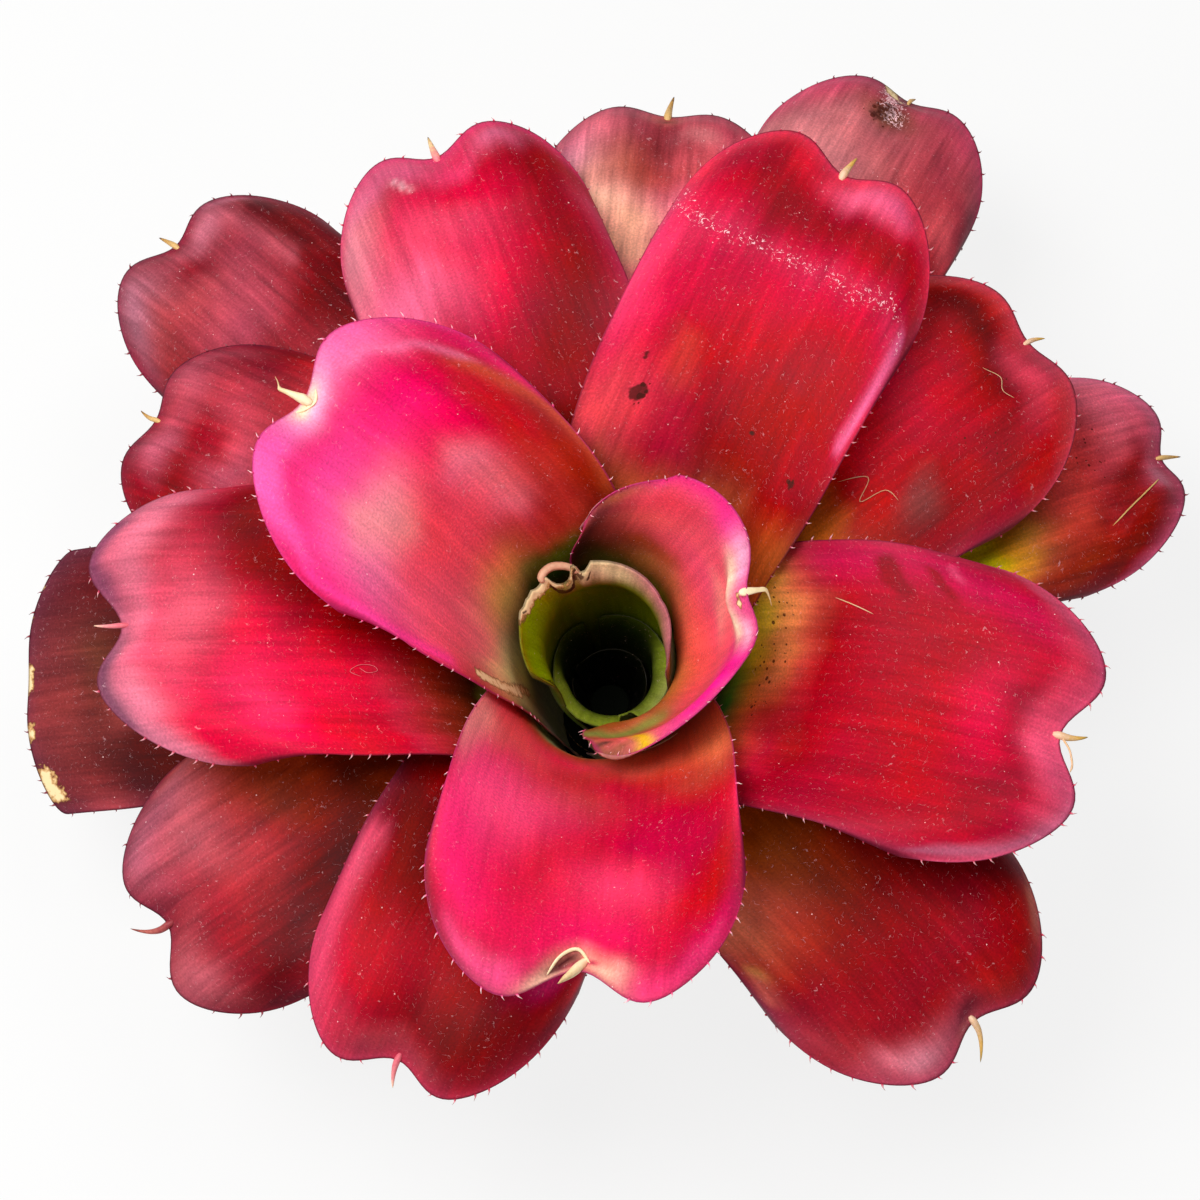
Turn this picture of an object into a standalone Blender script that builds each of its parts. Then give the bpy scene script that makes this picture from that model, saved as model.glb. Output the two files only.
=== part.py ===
"""A picked tank bromeliad: a rosette of strap leaves on a short stem, cut off flat below the leaves.

Units are metres and degrees, +Z is up. The origin is the middle of the stem's cut face, which the
plant stands on. Every leaf clasps the leaves inside it with a half-round sheath, then bends outwards
into a broad blade with a notched tip. Leaves are listed from the middle of the rosette outwards.
"""
import math
from collections import namedtuple

import bmesh
import bpy
from mathutils import Vector

# Sheaths: how the leaves are packed around the growing point
LEAF_THICKNESS = 0.0013
LAYER_STEP = 0.00205           # thickness of one sheath and the gap outside it
CORE_RADIUS = 0.0070           # inner face of the innermost rolled leaf
ATTACH_BOTTOM = 0.005          # height at which the outermost leaf is fixed to the stem
ATTACH_STEP = 0.0015           # each leaf inwards is fixed this much higher
SHEATH_LENGTH = 0.048          # straight, upright part of every leaf
SHEATH_ANGLE = 78.0            # steepness of the sheath above the horizontal
CLASP_HALF_ANGLE = 93.0        # a sheath wraps this far to each side of its midrib
SHEATH_FLARE = 0.5             # share of the cup's widening that a sheath's width follows
CLASP_CLEAR = 8.0              # the next sheath starts to close in this far beyond the edge
CLASP_FADE = 34.0              # and has closed in after this many degrees more
ROLLED_HALF_ANGLE = 173.0      # a young leaf is rolled almost into a tube
CUP_SLACK = 0.0055             # widest gap between the rolled leaves and the opened ones
SLACK_TOWARDS = 270.0          # azimuth of that gap
LEAN_TOWARDS = 175.0           # the outer rolled leaf leans to this azimuth
LEAN_LENGTH = 0.040            # over this length above the sheath
ROLLED_BEND = 0.040            # a rolled leaf steepens or slackens over this length above the sheath

# Blades
WIDEST_AT = 0.66               # share of the length at which a blade is widest
TIP_LENGTH = 0.048             # the end of the blade that is rounded off
TIP_ROUNDNESS = 2.3            # exponent of the rounded tip: 2 is an ellipse, more is squarer
NOTCH_HALF_WIDTH = 0.30        # share of the half width that the notch at the tip takes up
FOLD_DEPTH = 0.004             # dip of the midrib just behind the notch
MARGIN_LIFT = 0.003            # how far a blade's margins rise above its midrib half way along
CURL_FROM = 0.72               # share of the length from which the tip curls down
TIP_DROOP = 3.0                # near the tip the margins fall by this many times their lift
WIDEN_FROM = 0.5               # share of the sheath's length at which the blade starts to widen
OPEN_OVER = 0.5                # share of the length over which a blade opens out flat
ROUND_FROM = 0.3               # share of the length from which the margins are drawn to the rounded tip
ROUND_OVER = 0.5               # and over which they are
TIP_EVENNESS = 4               # exponent: how soon, towards the end, a blade's cross rows take its outline
ROLLED_EVENNESS = 2            # and those of a rolled leaf

# Facets
SPREAD_COLUMNS = 10
ROLLED_COLUMNS = 20
SPREAD_ROWS = 12
ROLLED_ROWS = 7
MIDRIB_STEPS = 40

# Stem
STEM_FOOT_RADIUS = 0.028       # radius of the flat cut face
STEM_SIDES = 24
STEM_CROWN = 0.0002            # the stem stays this far below each leaf's bottom edge
SEAT_GAP = 0.0005              # between a leaf's base and the stem
BASE_STEP = 3                  # degrees between the places at which a leaf base's radius is taken

Leaf = namedtuple(
    "Leaf", "name azimuth length width blade_angle bend curl notch skew sweep roll half_wrap lean tip")


def rolled(name, azimuth, length, blade_angle, notch, lean, tip):
    """A young leaf that is still rolled into a tube around the growing point."""
    return Leaf(name, azimuth, length, 0.0, blade_angle, ROLLED_BEND, 0.0, notch, 0.0, 0.0, 0.0,
                ROLLED_HALF_ANGLE, lean, tip)


def spread(name, azimuth, length, width, blade_angle, bend, curl, notch, skew, sweep, roll,
           tip=TIP_LENGTH, half_wrap=CLASP_HALF_ANGLE):
    """An opened leaf: half a sheath around the cup and a broad blade."""
    return Leaf(name, azimuth, length, width, blade_angle, bend, curl, notch, skew, sweep, roll,
                half_wrap, 0.0, tip)


LEAVES = [
    #                           azimuth length angle notch  lean   tip
    rolled("heart_leaf_inner", 345.0, 0.040, 78.0, 0.002, 0.0, 0.004),
    rolled("heart_leaf_middle", 290.0, 0.047, 86.0, 0.003, 0.000, 0.005),
    rolled("heart_leaf_outer", 105.0, 0.090, 94.0, 0.003, 0.006, 0.042),
    #       name     azimuth length width  angle bend   curl  notch  skew   sweep roll
    spread("leaf_01", 4.0, 0.139, 0.124, 78.0, 0.050, 5.0, 0.015, 0.005, 0.0, 0.0, 0.040, 120.0),
    spread("leaf_02", 148.0, 0.202, 0.101, 34.0, 0.110, 30.0, 0.013, 0.000, 0.0, 0.0),
    spread("leaf_03", 265.0, 0.206, 0.100, 29.0, 0.110, 30.0, 0.020, 0.000, 0.0, 0.0),
    spread("leaf_04", 62.5, 0.243, 0.093, 12.0, 0.120, 30.0, 0.012, 0.004, 0.0, 0.0),
    spread("leaf_05", 181.5, 0.229, 0.095, 9.0, 0.110, 30.0, 0.017, -0.004, 0.0, 0.0),
    spread("leaf_06", 340.0, 0.222, 0.102, 16.0, 0.110, 30.0, 0.018, 0.000, 3.0, 0.0),
    spread("leaf_07", 109.4, 0.244, 0.090, 3.0, 0.110, 30.0, 0.012, -0.003, 0.0, 0.0),
    spread("leaf_08", 244.3, 0.211, 0.087, 1.0, 0.100, 30.0, 0.013, -0.003, 0.0, 0.0),
    spread("leaf_09", 35.5, 0.229, 0.098, 8.0, 0.100, 30.0, 0.008, 0.000, 0.0, 0.0),
    spread("leaf_10", 153.0, 0.224, 0.088, 1.0, 0.100, 30.0, 0.008, 0.000, 0.0, 0.0),
    spread("leaf_11", 312.5, 0.225, 0.098, 0.0, 0.100, 30.0, 0.012, 0.000, 0.0, 0.0),
    spread("leaf_12", 84.0, 0.241, 0.092, 2.0, 0.095, 30.0, 0.006, 0.000, 0.0, 0.0, TIP_LENGTH, 88.0),
    spread("leaf_13", 213.0, 0.222, 0.092, -2.0, 0.095, 30.0, 0.014, 0.003, 0.0, 0.0),
    spread("leaf_14", 21.0, 0.248, 0.078, -2.0, 0.090, 30.0, 0.006, 0.006, 0.0, 0.0),
    spread("leaf_15", 135.5, 0.256, 0.086, 0.0, 0.090, 30.0, 0.011, 0.000, 0.0, 0.0, TIP_LENGTH, 90.0),
    spread("leaf_16", 63.0, 0.274, 0.084, -2.0, 0.085, 30.0, 0.006, 0.000, 0.0, 0.0, TIP_LENGTH, 76.0),
    spread("leaf_17", 181.0, 0.226, 0.095, -8.0, 0.080, 10.0, 0.000, 0.000, 0.0, 0.0, 0.010, 88.0),
]

# Finishes: name, linear colour and roughness
RIPE = ("ripe_leaf", (0.55, 0.02, 0.06), 0.45)
YOUNG = ("young_leaf", (0.14, 0.30, 0.02), 0.35)
BARK = ("stem_bark", (0.20, 0.12, 0.05), 0.85)


def smooth(value):
    """Eased step from 0 to 1."""
    value = min(max(value, 0.0), 1.0)
    return value * value * (3.0 - 2.0 * value)


def clear_scene():
    for obj in list(bpy.data.objects):
        bpy.data.objects.remove(obj, do_unlink=True)


def new_material(name, colour, roughness):
    material = bpy.data.materials.new(name)
    material.use_nodes = True
    shader = material.node_tree.nodes["Principled BSDF"]
    shader.inputs["Base Color"].default_value = (*colour, 1.0)
    shader.inputs["Roughness"].default_value = roughness
    shader.inputs["Metallic"].default_value = 0.0
    return material


def sheath_radius(index, azimuth):
    """Radius of a sheath's inner face: the sheaths inside it take up room only where they reach."""
    radius = CORE_RADIUS
    for inner in LEAVES[:index]:
        apart = abs((azimuth - inner.azimuth + 180.0) % 360.0 - 180.0)
        clear = inner.half_wrap + CLASP_CLEAR
        radius += LAYER_STEP * (1.0 - smooth((apart - clear) / CLASP_FADE))
    if LEAVES[index].width:
        radius += CUP_SLACK * (1.0 + math.cos(math.radians(azimuth - SLACK_TOWARDS))) / 2.0
    return radius


def attach_height(index):
    return ATTACH_BOTTOM + ATTACH_STEP * (len(LEAVES) - 1 - index)


def slope(leaf, distance):
    """Steepness of a leaf's midrib, in degrees above the horizontal, at a distance along it."""
    opened = smooth((distance - SHEATH_LENGTH) / leaf.bend)
    curled = max(0.0, distance / leaf.length - CURL_FROM) / (1.0 - CURL_FROM)
    return SHEATH_ANGLE + (leaf.blade_angle - SHEATH_ANGLE) * opened - leaf.curl * curled ** 2


def midrib(leaf, distance):
    """How far out and up the midrib has gone after a distance along the leaf."""
    out = 0.0
    up = 0.0
    for step in range(MIDRIB_STEPS):
        angle = math.radians(slope(leaf, distance * (step + 0.5) / MIDRIB_STEPS))
        out += math.cos(angle) * distance / MIDRIB_STEPS
        up += math.sin(angle) * distance / MIDRIB_STEPS
    return out, up


def half_width(leaf, index, along):
    """Half the leaf's width, measured round the rosette, at a share of its length."""
    sheath = SHEATH_LENGTH / leaf.length
    flare = SHEATH_FLARE * midrib(leaf, min(along, sheath) * leaf.length)[0]
    clasp = math.radians(leaf.half_wrap) * (sheath_radius(index, leaf.azimuth) + flare)
    start = WIDEN_FROM * sheath
    widen = smooth((along - start) / (WIDEST_AT - start))
    return clasp + (leaf.width / 2.0 - clasp) * widen


def tip_outline(leaf, across, side):
    """How far the leaf's end falls short of its full length, across its width."""
    short = leaf.tip * (1.0 - abs(math.cos(across * math.pi / 2.0)) ** (2.0 / TIP_ROUNDNESS))
    short += leaf.notch * math.exp(-(side / NOTCH_HALF_WIDTH) ** 2)
    return short + leaf.skew * side


def leaf_point(leaf, index, across, along):
    """A point of the leaf's upper face: across runs from -1 to 1, along from 0 at the stem to 1."""
    rounding = smooth((along - ROUND_FROM) / ROUND_OVER)
    side = across + (math.sin(across * math.pi / 2.0) - across) * rounding
    evenness = TIP_EVENNESS if leaf.width else ROLLED_EVENNESS
    distance = along * leaf.length - tip_outline(leaf, across, side) * along ** evenness

    out, up = midrib(leaf, distance)
    reach = sheath_radius(index, leaf.azimuth) + out
    wide = half_width(leaf, index, along) if leaf.width else math.radians(leaf.half_wrap) * reach
    bladed = smooth((distance - SHEATH_LENGTH) / (OPEN_OVER * leaf.length))
    azimuth = leaf.azimuth + leaf.sweep * bladed ** 2 - math.degrees(side * wide / reach)

    tipped = smooth((along - CURL_FROM) / (1.0 - CURL_FROM))
    rise = leaf.roll * side * wide * bladed
    if leaf.width:
        lift = MARGIN_LIFT * math.cos(math.radians(leaf.blade_angle))
        rise += lift * side * side * bladed * (1.0 - TIP_DROOP * tipped)
        rise -= FOLD_DEPTH * tipped * math.exp(-(side / NOTCH_HALF_WIDTH) ** 2)
    angle = math.radians(slope(leaf, distance))
    radius = sheath_radius(index, azimuth) + out - rise * math.sin(angle)
    height = attach_height(index) + up + rise * math.cos(angle)
    turn = math.radians(azimuth)
    lean = leaf.lean * smooth((distance - SHEATH_LENGTH) / LEAN_LENGTH)
    away = math.radians(LEAN_TOWARDS)
    return Vector((radius * math.cos(turn) + lean * math.cos(away),
                   radius * math.sin(turn) + lean * math.sin(away), height))


def make_leaf(leaf, index, material, collection):
    """One leaf: a grid bent into sheath and blade, thickened downwards and outwards."""
    columns = SPREAD_COLUMNS if leaf.width else ROLLED_COLUMNS
    rows = SPREAD_ROWS if leaf.width else ROLLED_ROWS
    bpy.ops.mesh.primitive_grid_add(x_subdivisions=columns, y_subdivisions=rows, size=2.0)
    obj = bpy.context.object
    obj.name = leaf.name
    for vertex in obj.data.vertices:
        across = vertex.co.x
        along = (vertex.co.y + 1.0) / 2.0
        vertex.co = leaf_point(leaf, index, across, along)
    shell = obj.modifiers.new("Leaf thickness", "SOLIDIFY")
    shell.thickness = LEAF_THICKNESS
    shell.offset = -1.0
    obj.data.shade_smooth()
    obj.data.materials.append(material)
    collect(obj, collection)


def base_radius(index):
    """The smallest radius of a sheath's inner face at its base."""
    leaf = LEAVES[index]
    edge = int(leaf.half_wrap)
    return min(sheath_radius(index, leaf.azimuth + turn) for turn in range(-edge, edge + 1, BASE_STEP))


def stem_profile():
    """Radius and height down the stem: it comes to the seat gap from the leaf bases around it."""
    profile = [(0.0, attach_height(0) - STEM_CROWN)]
    for index in range(len(LEAVES)):
        narrowest = min(base_radius(outer) for outer in range(index, len(LEAVES)))
        profile.append((narrowest - SEAT_GAP, attach_height(index) - STEM_CROWN))
    profile.append((STEM_FOOT_RADIUS, 0.0))
    profile.append((0.0, 0.0))
    return profile


def make_stem(material, collection):
    """The short woody stem: a turned cone of leaf scars, flat where it was cut."""
    mesh = bpy.data.meshes.new("stem")
    turned = bmesh.new()
    points = [turned.verts.new((radius, 0.0, height)) for radius, height in stem_profile()]
    for upper, lower in zip(points, points[1:]):
        turned.edges.new((upper, lower))
    turned.to_mesh(mesh)
    turned.free()
    obj = bpy.data.objects.new("stem", mesh)
    lathe = obj.modifiers.new("Turn", "SCREW")
    lathe.steps = STEM_SIDES
    lathe.render_steps = STEM_SIDES
    lathe.use_merge_vertices = True
    lathe.merge_threshold = 0.00001
    mesh.materials.append(material)
    collection.objects.link(obj)


def collect(obj, collection):
    for owner in list(obj.users_collection):
        owner.objects.unlink(obj)
    collection.objects.link(obj)


def main():
    clear_scene()
    plant = bpy.data.collections.new("bromeliad")
    bpy.context.scene.collection.children.link(plant)
    ripe = new_material(*RIPE)
    young = new_material(*YOUNG)
    make_stem(new_material(*BARK), plant)
    for index, leaf in enumerate(LEAVES):
        make_leaf(leaf, index, ripe if leaf.width else young, plant)


main()
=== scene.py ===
import math
import random
from collections import namedtuple

import bmesh
import bpy
import numpy as np
from mathutils import Matrix, Vector


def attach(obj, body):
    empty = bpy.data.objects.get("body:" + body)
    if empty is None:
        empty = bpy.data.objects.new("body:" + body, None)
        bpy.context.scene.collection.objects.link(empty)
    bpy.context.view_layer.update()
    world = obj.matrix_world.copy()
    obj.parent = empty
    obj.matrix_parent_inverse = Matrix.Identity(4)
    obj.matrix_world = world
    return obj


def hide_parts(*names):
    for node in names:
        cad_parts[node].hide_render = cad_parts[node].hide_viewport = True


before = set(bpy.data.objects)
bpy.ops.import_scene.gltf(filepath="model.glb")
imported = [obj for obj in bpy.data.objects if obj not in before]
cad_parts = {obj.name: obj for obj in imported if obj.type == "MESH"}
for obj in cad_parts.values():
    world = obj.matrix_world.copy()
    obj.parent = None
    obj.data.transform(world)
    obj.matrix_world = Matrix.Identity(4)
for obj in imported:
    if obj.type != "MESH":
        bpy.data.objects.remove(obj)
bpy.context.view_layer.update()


# ---------------------------------------------------------------- viewpoint
# The plant stands on its stem and is looked down on steeply from the front, from a little over a
# metre away, so that the whole rosette lies open to the eye.
LOOK_AT = Vector((-0.0034, 0.0245, 0.075))
LOOK_DOWN = math.radians(72.0)
LOOK_FROM = 1.15
FIELD_WIDTH = 0.408                  # what the frame takes in at the point looked at

sight = bpy.data.cameras.new("sight")
sight.sensor_width = 36.0
sight.lens = sight.sensor_width * LOOK_FROM / FIELD_WIDTH
sight_line = Vector((0.0, math.cos(LOOK_DOWN), -math.sin(LOOK_DOWN)))
eye = bpy.data.objects.new("eye", sight)
eye.location = LOOK_AT - sight_line * LOOK_FROM
eye.rotation_euler = (math.pi / 2.0 - LOOK_DOWN, 0.0, 0.0)
bpy.context.scene.collection.objects.link(eye)
bpy.context.scene.camera = eye
bpy.context.scene.view_settings.view_transform = "Standard"


# ---------------------------------------------------------------- floor and light
# A white paper sweep under soft boxes. The sheet looks white where the eye or a glossy surface sees
# it, and still takes the plant's shadow.
PAPER = "#f2f1ef"
PAPER_SIDE = 6.0
PAPER_UNDER = 0.0003                 # keeps the sheet clear of the cut face that rests on it
PAPER_GLOW = 0.85                    # share of the paper's white that no shadow reaches
PAPER_WHITE = 0.97
LAMP_WHITE = (1.0, 1.0, 1.0, 1.0)
SKY_LEVEL = 0.10                     # even light from all round
SOFT_BOXES = [
    # name            place                 side   level on a sheet facing it
    ("key_box", (-0.50, 0.10, 1.35), 0.70, 0.90),
    ("top_box", (0.35, 0.45, 1.45), 0.60, 0.27),
    ("left_box", (-1.20, -0.15, 0.80), 0.60, 0.21),
    ("front_box", (0.10, -1.15, 0.75), 0.60, 0.15),
]


def from_hex(text):
    """A colour written as sRGB hex, as linear red, green and blue."""
    values = [int(text[start:start + 2], 16) / 255.0 for start in (1, 3, 5)]
    return tuple(v / 12.92 if v <= 0.04045 else ((v + 0.055) / 1.055) ** 2.4 for v in values)


def feed(node, inputs):
    """Sets a node's inputs to plain values or hex inks, or links a node or a socket to them. A
    number stands for an input that shares its name with another: 1 to 4 on a Map Range are the span
    it reads and the span it gives, and 6 and 7 on a Mix its two inks."""
    for name, value in inputs.items():
        if isinstance(value, bpy.types.Node):
            value = value.outputs[2 if value.bl_idname == "ShaderNodeMix" else 0]
        if isinstance(value, bpy.types.NodeSocket):
            node.id_data.links.new(value, node.inputs[name])
        else:
            node.inputs[name].default_value = (*from_hex(value), 1.0) if isinstance(value, str) else value


def add_node(tree, kind, inputs=None, stops=(), **settings):
    """Adds a node with its settings and inputs. Stops are the places and inks of a colour ramp."""
    made = tree.nodes.new("ShaderNode" + kind)
    for name, value in settings.items():
        setattr(made, name, value)
    if stops:
        ramp = made.color_ramp.elements
        ramp[0].position, ramp[1].position = stops[0][0], stops[-1][0]
        for place, _ in stops[1:-1]:
            ramp.new(place)
        for stop, (_, ink) in zip(ramp, stops):
            stop.color = (*from_hex(ink), 1.0)
    feed(made, inputs or {})
    return made


def rays_seen(tree):
    """1 for what the eye sees, be it straight, in a gloss or through something clear, and else 0."""
    ray = add_node(tree, "LightPath").outputs
    seen = add_node(tree, "Math", {0: ray["Is Camera Ray"], 1: ray["Is Glossy Ray"]}, operation="ADD")
    return add_node(tree, "Math", {0: seen, 1: ray["Is Transmission Ray"]},
                    operation="ADD", use_clamp=True)


bpy.ops.mesh.primitive_plane_add(size=PAPER_SIDE, location=(0.0, 0.0, -PAPER_UNDER))
paper = bpy.context.object
paper.name = "paper_floor"
sheet = bpy.data.materials.new("white paper")
sheet.use_nodes = True
tree = sheet.node_tree
tree.nodes.clear()
matt = add_node(tree, "BsdfDiffuse", {"Color": PAPER})
glow = add_node(tree, "Emission", {"Color": LAMP_WHITE, "Strength": PAPER_WHITE})
share = add_node(tree, "Math", {0: rays_seen(tree), 1: PAPER_GLOW}, operation="MULTIPLY")
mixed = add_node(tree, "MixShader", {0: share, 1: matt, 2: glow})
add_node(tree, "OutputMaterial", {"Surface": mixed})
paper.data.materials.append(sheet)

room = bpy.data.worlds.new("white room")
bpy.context.scene.world = room
room.use_nodes = True
tree = room.node_tree
tree.nodes.clear()
dim = add_node(tree, "Background", {"Color": LAMP_WHITE, "Strength": SKY_LEVEL})
white = add_node(tree, "Background", {"Color": LAMP_WHITE, "Strength": 1.0})
mixed = add_node(tree, "MixShader", {0: rays_seen(tree), 1: dim, 2: white})
add_node(tree, "OutputWorld", {"Surface": mixed})

for name, place, side, level in SOFT_BOXES:
    lamp = bpy.data.lights.new(name, "AREA")
    lamp.size = side
    place = Vector(place)
    lamp.energy = level * math.pi ** 2 * (place - LOOK_AT).length_squared
    box = bpy.data.objects.new(name, lamp)
    box.location = place
    box.rotation_euler = (LOOK_AT - place).to_track_quat("-Z", "Y").to_euler()
    bpy.context.scene.collection.objects.link(box)


# ---------------------------------------------------------------- rosette plan
# Leaves are packed round the growing point from the middle outwards, each clasping those inside it.
# The rows give every leaf the place and size that it has in the solid model.
LEAF_THICKNESS = 0.0013
LAYER_STEP = 0.00205                 # from one sheath to the next outside it
CORE_RADIUS = 0.0070
ATTACH_BOTTOM = 0.005
ATTACH_STEP = 0.0015                 # up the stem from one leaf to the next inside it
SHEATH_LENGTH = 0.048
SHEATH_ANGLE = 78.0
SHEATH_FLARE = 0.5
CLASP_CLEAR = 8.0                    # degrees past a sheath's edge before the next one closes in
CLASP_FADE = 34.0
ROLLED_HALF_WIDTH = 0.070
CUP_SLACK = 0.0055                   # how far the opened leaves stand off the rolled ones at most
SLACK_TOWARDS = 270.0
LEAN_TOWARDS = math.radians(175.0)
LEAN_LENGTH = 0.040
WIDEST_AT = 0.66
TIP_LENGTH = 0.048
TIP_ROUNDNESS = 2.3
ROUND_FROM, ROUND_OVER = 0.3, 0.5    # where the grid's square corners begin to draw in to the tip
NOTCH_HALF_WIDTH = 0.30
FOLD_DEPTH = 0.004
MARGIN_LIFT = 0.003
MARGIN_DROP = 3.0                    # how many times as far the raised margins turn down at the tip
CURL_FROM = 0.72
RIM_ROLL = 0.0032                    # how far the rim rolls down round the tip
RIM_ROLL_WIDTH = 0.011
RIPPLE = 0.0007                      # height of the slow waves that no grown leaf is without
WAVE, LONG_WAVE, EDGE_WAVE = 0.0105, 0.0170, 0.0062
TINY = 1e-12
MIDRIB_STEPS = 400

Leaf = namedtuple(
    "Leaf", "name azimuth length width blade_angle bend curl notch skew sweep half_wrap lean tip")


def planned(name, azimuth, length, width, blade_angle, bend, notch, skew=0.0, curl=30.0, sweep=0.0,
            tip=1000.0 * TIP_LENGTH, half_wrap=93.0, lean=0.0):
    """A leaf's place and size, from lengths in millimetres. One without a width is still rolled
    into a tube, and the others are half a sheath and a broad blade."""
    return Leaf(name, azimuth, length / 1000.0, width / 1000.0, blade_angle, bend / 1000.0, curl,
                notch / 1000.0, skew / 1000.0, sweep, half_wrap, lean / 1000.0, tip / 1000.0)


LEAVES = [
    #        name     azimuth length width angle bend notch skew
    planned("heart_leaf_inner", 345.0, 40, 0, 78.0, 40, 2, curl=0.0, tip=4, half_wrap=173.0),
    planned("heart_leaf_middle", 290.0, 47, 0, 86.0, 40, 3, curl=0.0, tip=5, half_wrap=173.0),
    planned("heart_leaf_outer", 105.0, 90, 0, 94.0, 40, 3, curl=0.0, tip=42, half_wrap=173.0, lean=6),
    planned("leaf_01", 4.0, 139, 124, 78.0, 50, 15, 5, curl=5.0, tip=40, half_wrap=120.0),
    planned("leaf_02", 148.0, 202, 101, 34.0, 110, 13),
    planned("leaf_03", 265.0, 206, 100, 29.0, 110, 20),
    planned("leaf_04", 62.5, 243, 93, 12.0, 120, 12, 4),
    planned("leaf_05", 181.5, 229, 95, 9.0, 110, 17, -4),
    planned("leaf_06", 340.0, 222, 102, 16.0, 110, 18, sweep=3.0),
    planned("leaf_07", 109.4, 244, 90, 3.0, 110, 12, -3),
    planned("leaf_08", 244.3, 211, 87, 1.0, 100, 13, -3),
    planned("leaf_09", 35.5, 229, 98, 8.0, 100, 8),
    planned("leaf_10", 153.0, 224, 88, 1.0, 100, 8),
    planned("leaf_11", 312.5, 225, 98, 0.0, 100, 12),
    planned("leaf_12", 84.0, 241, 92, 2.0, 95, 6, half_wrap=88.0),
    planned("leaf_13", 213.0, 222, 92, -2.0, 95, 14, 3),
    planned("leaf_14", 21.0, 248, 78, -2.0, 90, 6, 6),
    planned("leaf_15", 135.5, 256, 86, 0.0, 90, 11, half_wrap=90.0),
    planned("leaf_16", 63.0, 274, 84, -2.0, 85, 6, half_wrap=76.0),
    planned("leaf_17", 181.0, 226, 95, -8.0, 80, 0, curl=10.0, tip=10, half_wrap=88.0),
]
PLACE_OF = {leaf.name: place for place, leaf in enumerate(LEAVES)}


def ease(value):
    """Eased step from 0 to 1."""
    value = np.clip(value, 0.0, 1.0)
    return value * value * (3.0 - 2.0 * value)


def sheath_radius(place, azimuth):
    """Radius of a sheath's inner face, which the sheaths inside it push out."""
    radius = CORE_RADIUS + 0.0 * azimuth
    for inner in LEAVES[:place]:
        apart = abs((azimuth - inner.azimuth + 180.0) % 360.0 - 180.0)
        clear = inner.half_wrap + CLASP_CLEAR
        radius = radius + LAYER_STEP * (1.0 - ease((apart - clear) / CLASP_FADE))
    if LEAVES[place].width:
        radius = radius + CUP_SLACK * (1.0 + np.cos(np.radians(azimuth - SLACK_TOWARDS))) / 2.0
    return radius


def attach_height(place):
    return ATTACH_BOTTOM + ATTACH_STEP * (len(LEAVES) - 1 - place)


def slope(leaf, distance):
    """Steepness of the midrib, in degrees, at a distance along the leaf."""
    opened = ease((distance - SHEATH_LENGTH) / leaf.bend)
    curled = np.maximum(0.0, distance / leaf.length - CURL_FROM) / (1.0 - CURL_FROM)
    return SHEATH_ANGLE + (leaf.blade_angle - SHEATH_ANGLE) * opened - leaf.curl * curled ** 2


def midrib(leaf, distance):
    """How far out and up the midrib has gone after a distance."""
    reach = leaf.length * 1.1
    middles = (np.arange(MIDRIB_STEPS) + 0.5) * reach / MIDRIB_STEPS
    angle = np.radians(slope(leaf, middles))
    ends = np.linspace(0.0, reach, MIDRIB_STEPS + 1)
    out = np.concatenate([[0.0], np.cumsum(np.cos(angle))]) * reach / MIDRIB_STEPS
    up = np.concatenate([[0.0], np.cumsum(np.sin(angle))]) * reach / MIDRIB_STEPS
    return np.interp(distance, ends, out), np.interp(distance, ends, up)


def half_width(leaf, place, along):
    sheath = SHEATH_LENGTH / leaf.length
    flare = SHEATH_FLARE * midrib(leaf, np.minimum(along, sheath) * leaf.length)[0]
    clasp = math.radians(leaf.half_wrap) * (sheath_radius(place, leaf.azimuth) + flare)
    widen = ease((along - 0.5 * sheath) / (WIDEST_AT - 0.5 * sheath))
    return clasp + (leaf.width / 2.0 - clasp) * widen


def tip_outline(leaf, across, side):
    """How far the leaf's end falls short of its full length."""
    short = leaf.tip * (1.0 - np.abs(np.cos(across * math.pi / 2.0)) ** (2.0 / TIP_ROUNDNESS))
    short = short + leaf.notch * np.exp(-(side / NOTCH_HALF_WIDTH) ** 2)
    return short + leaf.skew * side


def near_line(leaf, across, along, line, reach_mm):
    """1 on a line through places given as (across, along), or on a single place, falling away to 0
    within a reach measured on the leaf."""
    scale = np.array([leaf.width / 2.0 or ROLLED_HALF_WIDTH, leaf.length]) * 1000.0
    spot = np.stack([across, along], axis=-1) * scale
    gap = np.linalg.norm(spot - np.array(line[0]) * scale, axis=-1)
    for start, end in zip(line, line[1:]):
        start, end = np.array(start) * scale, np.array(end) * scale
        run = end - start
        share = np.clip(((spot - start) @ run) / (run @ run), 0.0, 1.0)
        gap = np.minimum(gap, np.linalg.norm(spot - start - share[..., None] * run, axis=-1))
    return np.exp(-(gap / reach_mm) ** 2)


def ripple(place, side, distance):
    """Slow unevenness of a blade, different on each leaf."""
    phase = 1.7 * place
    waves = np.sin(distance / WAVE + phase + 1.4 * side)
    waves = waves + 0.8 * np.sin(distance / LONG_WAVE - phase + 2.6 * side)
    edge = np.abs(side) ** 4 * np.sin(distance / EDGE_WAVE + 2.1 * phase)
    return RIPPLE * (0.6 * waves + 1.1 * edge)


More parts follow.
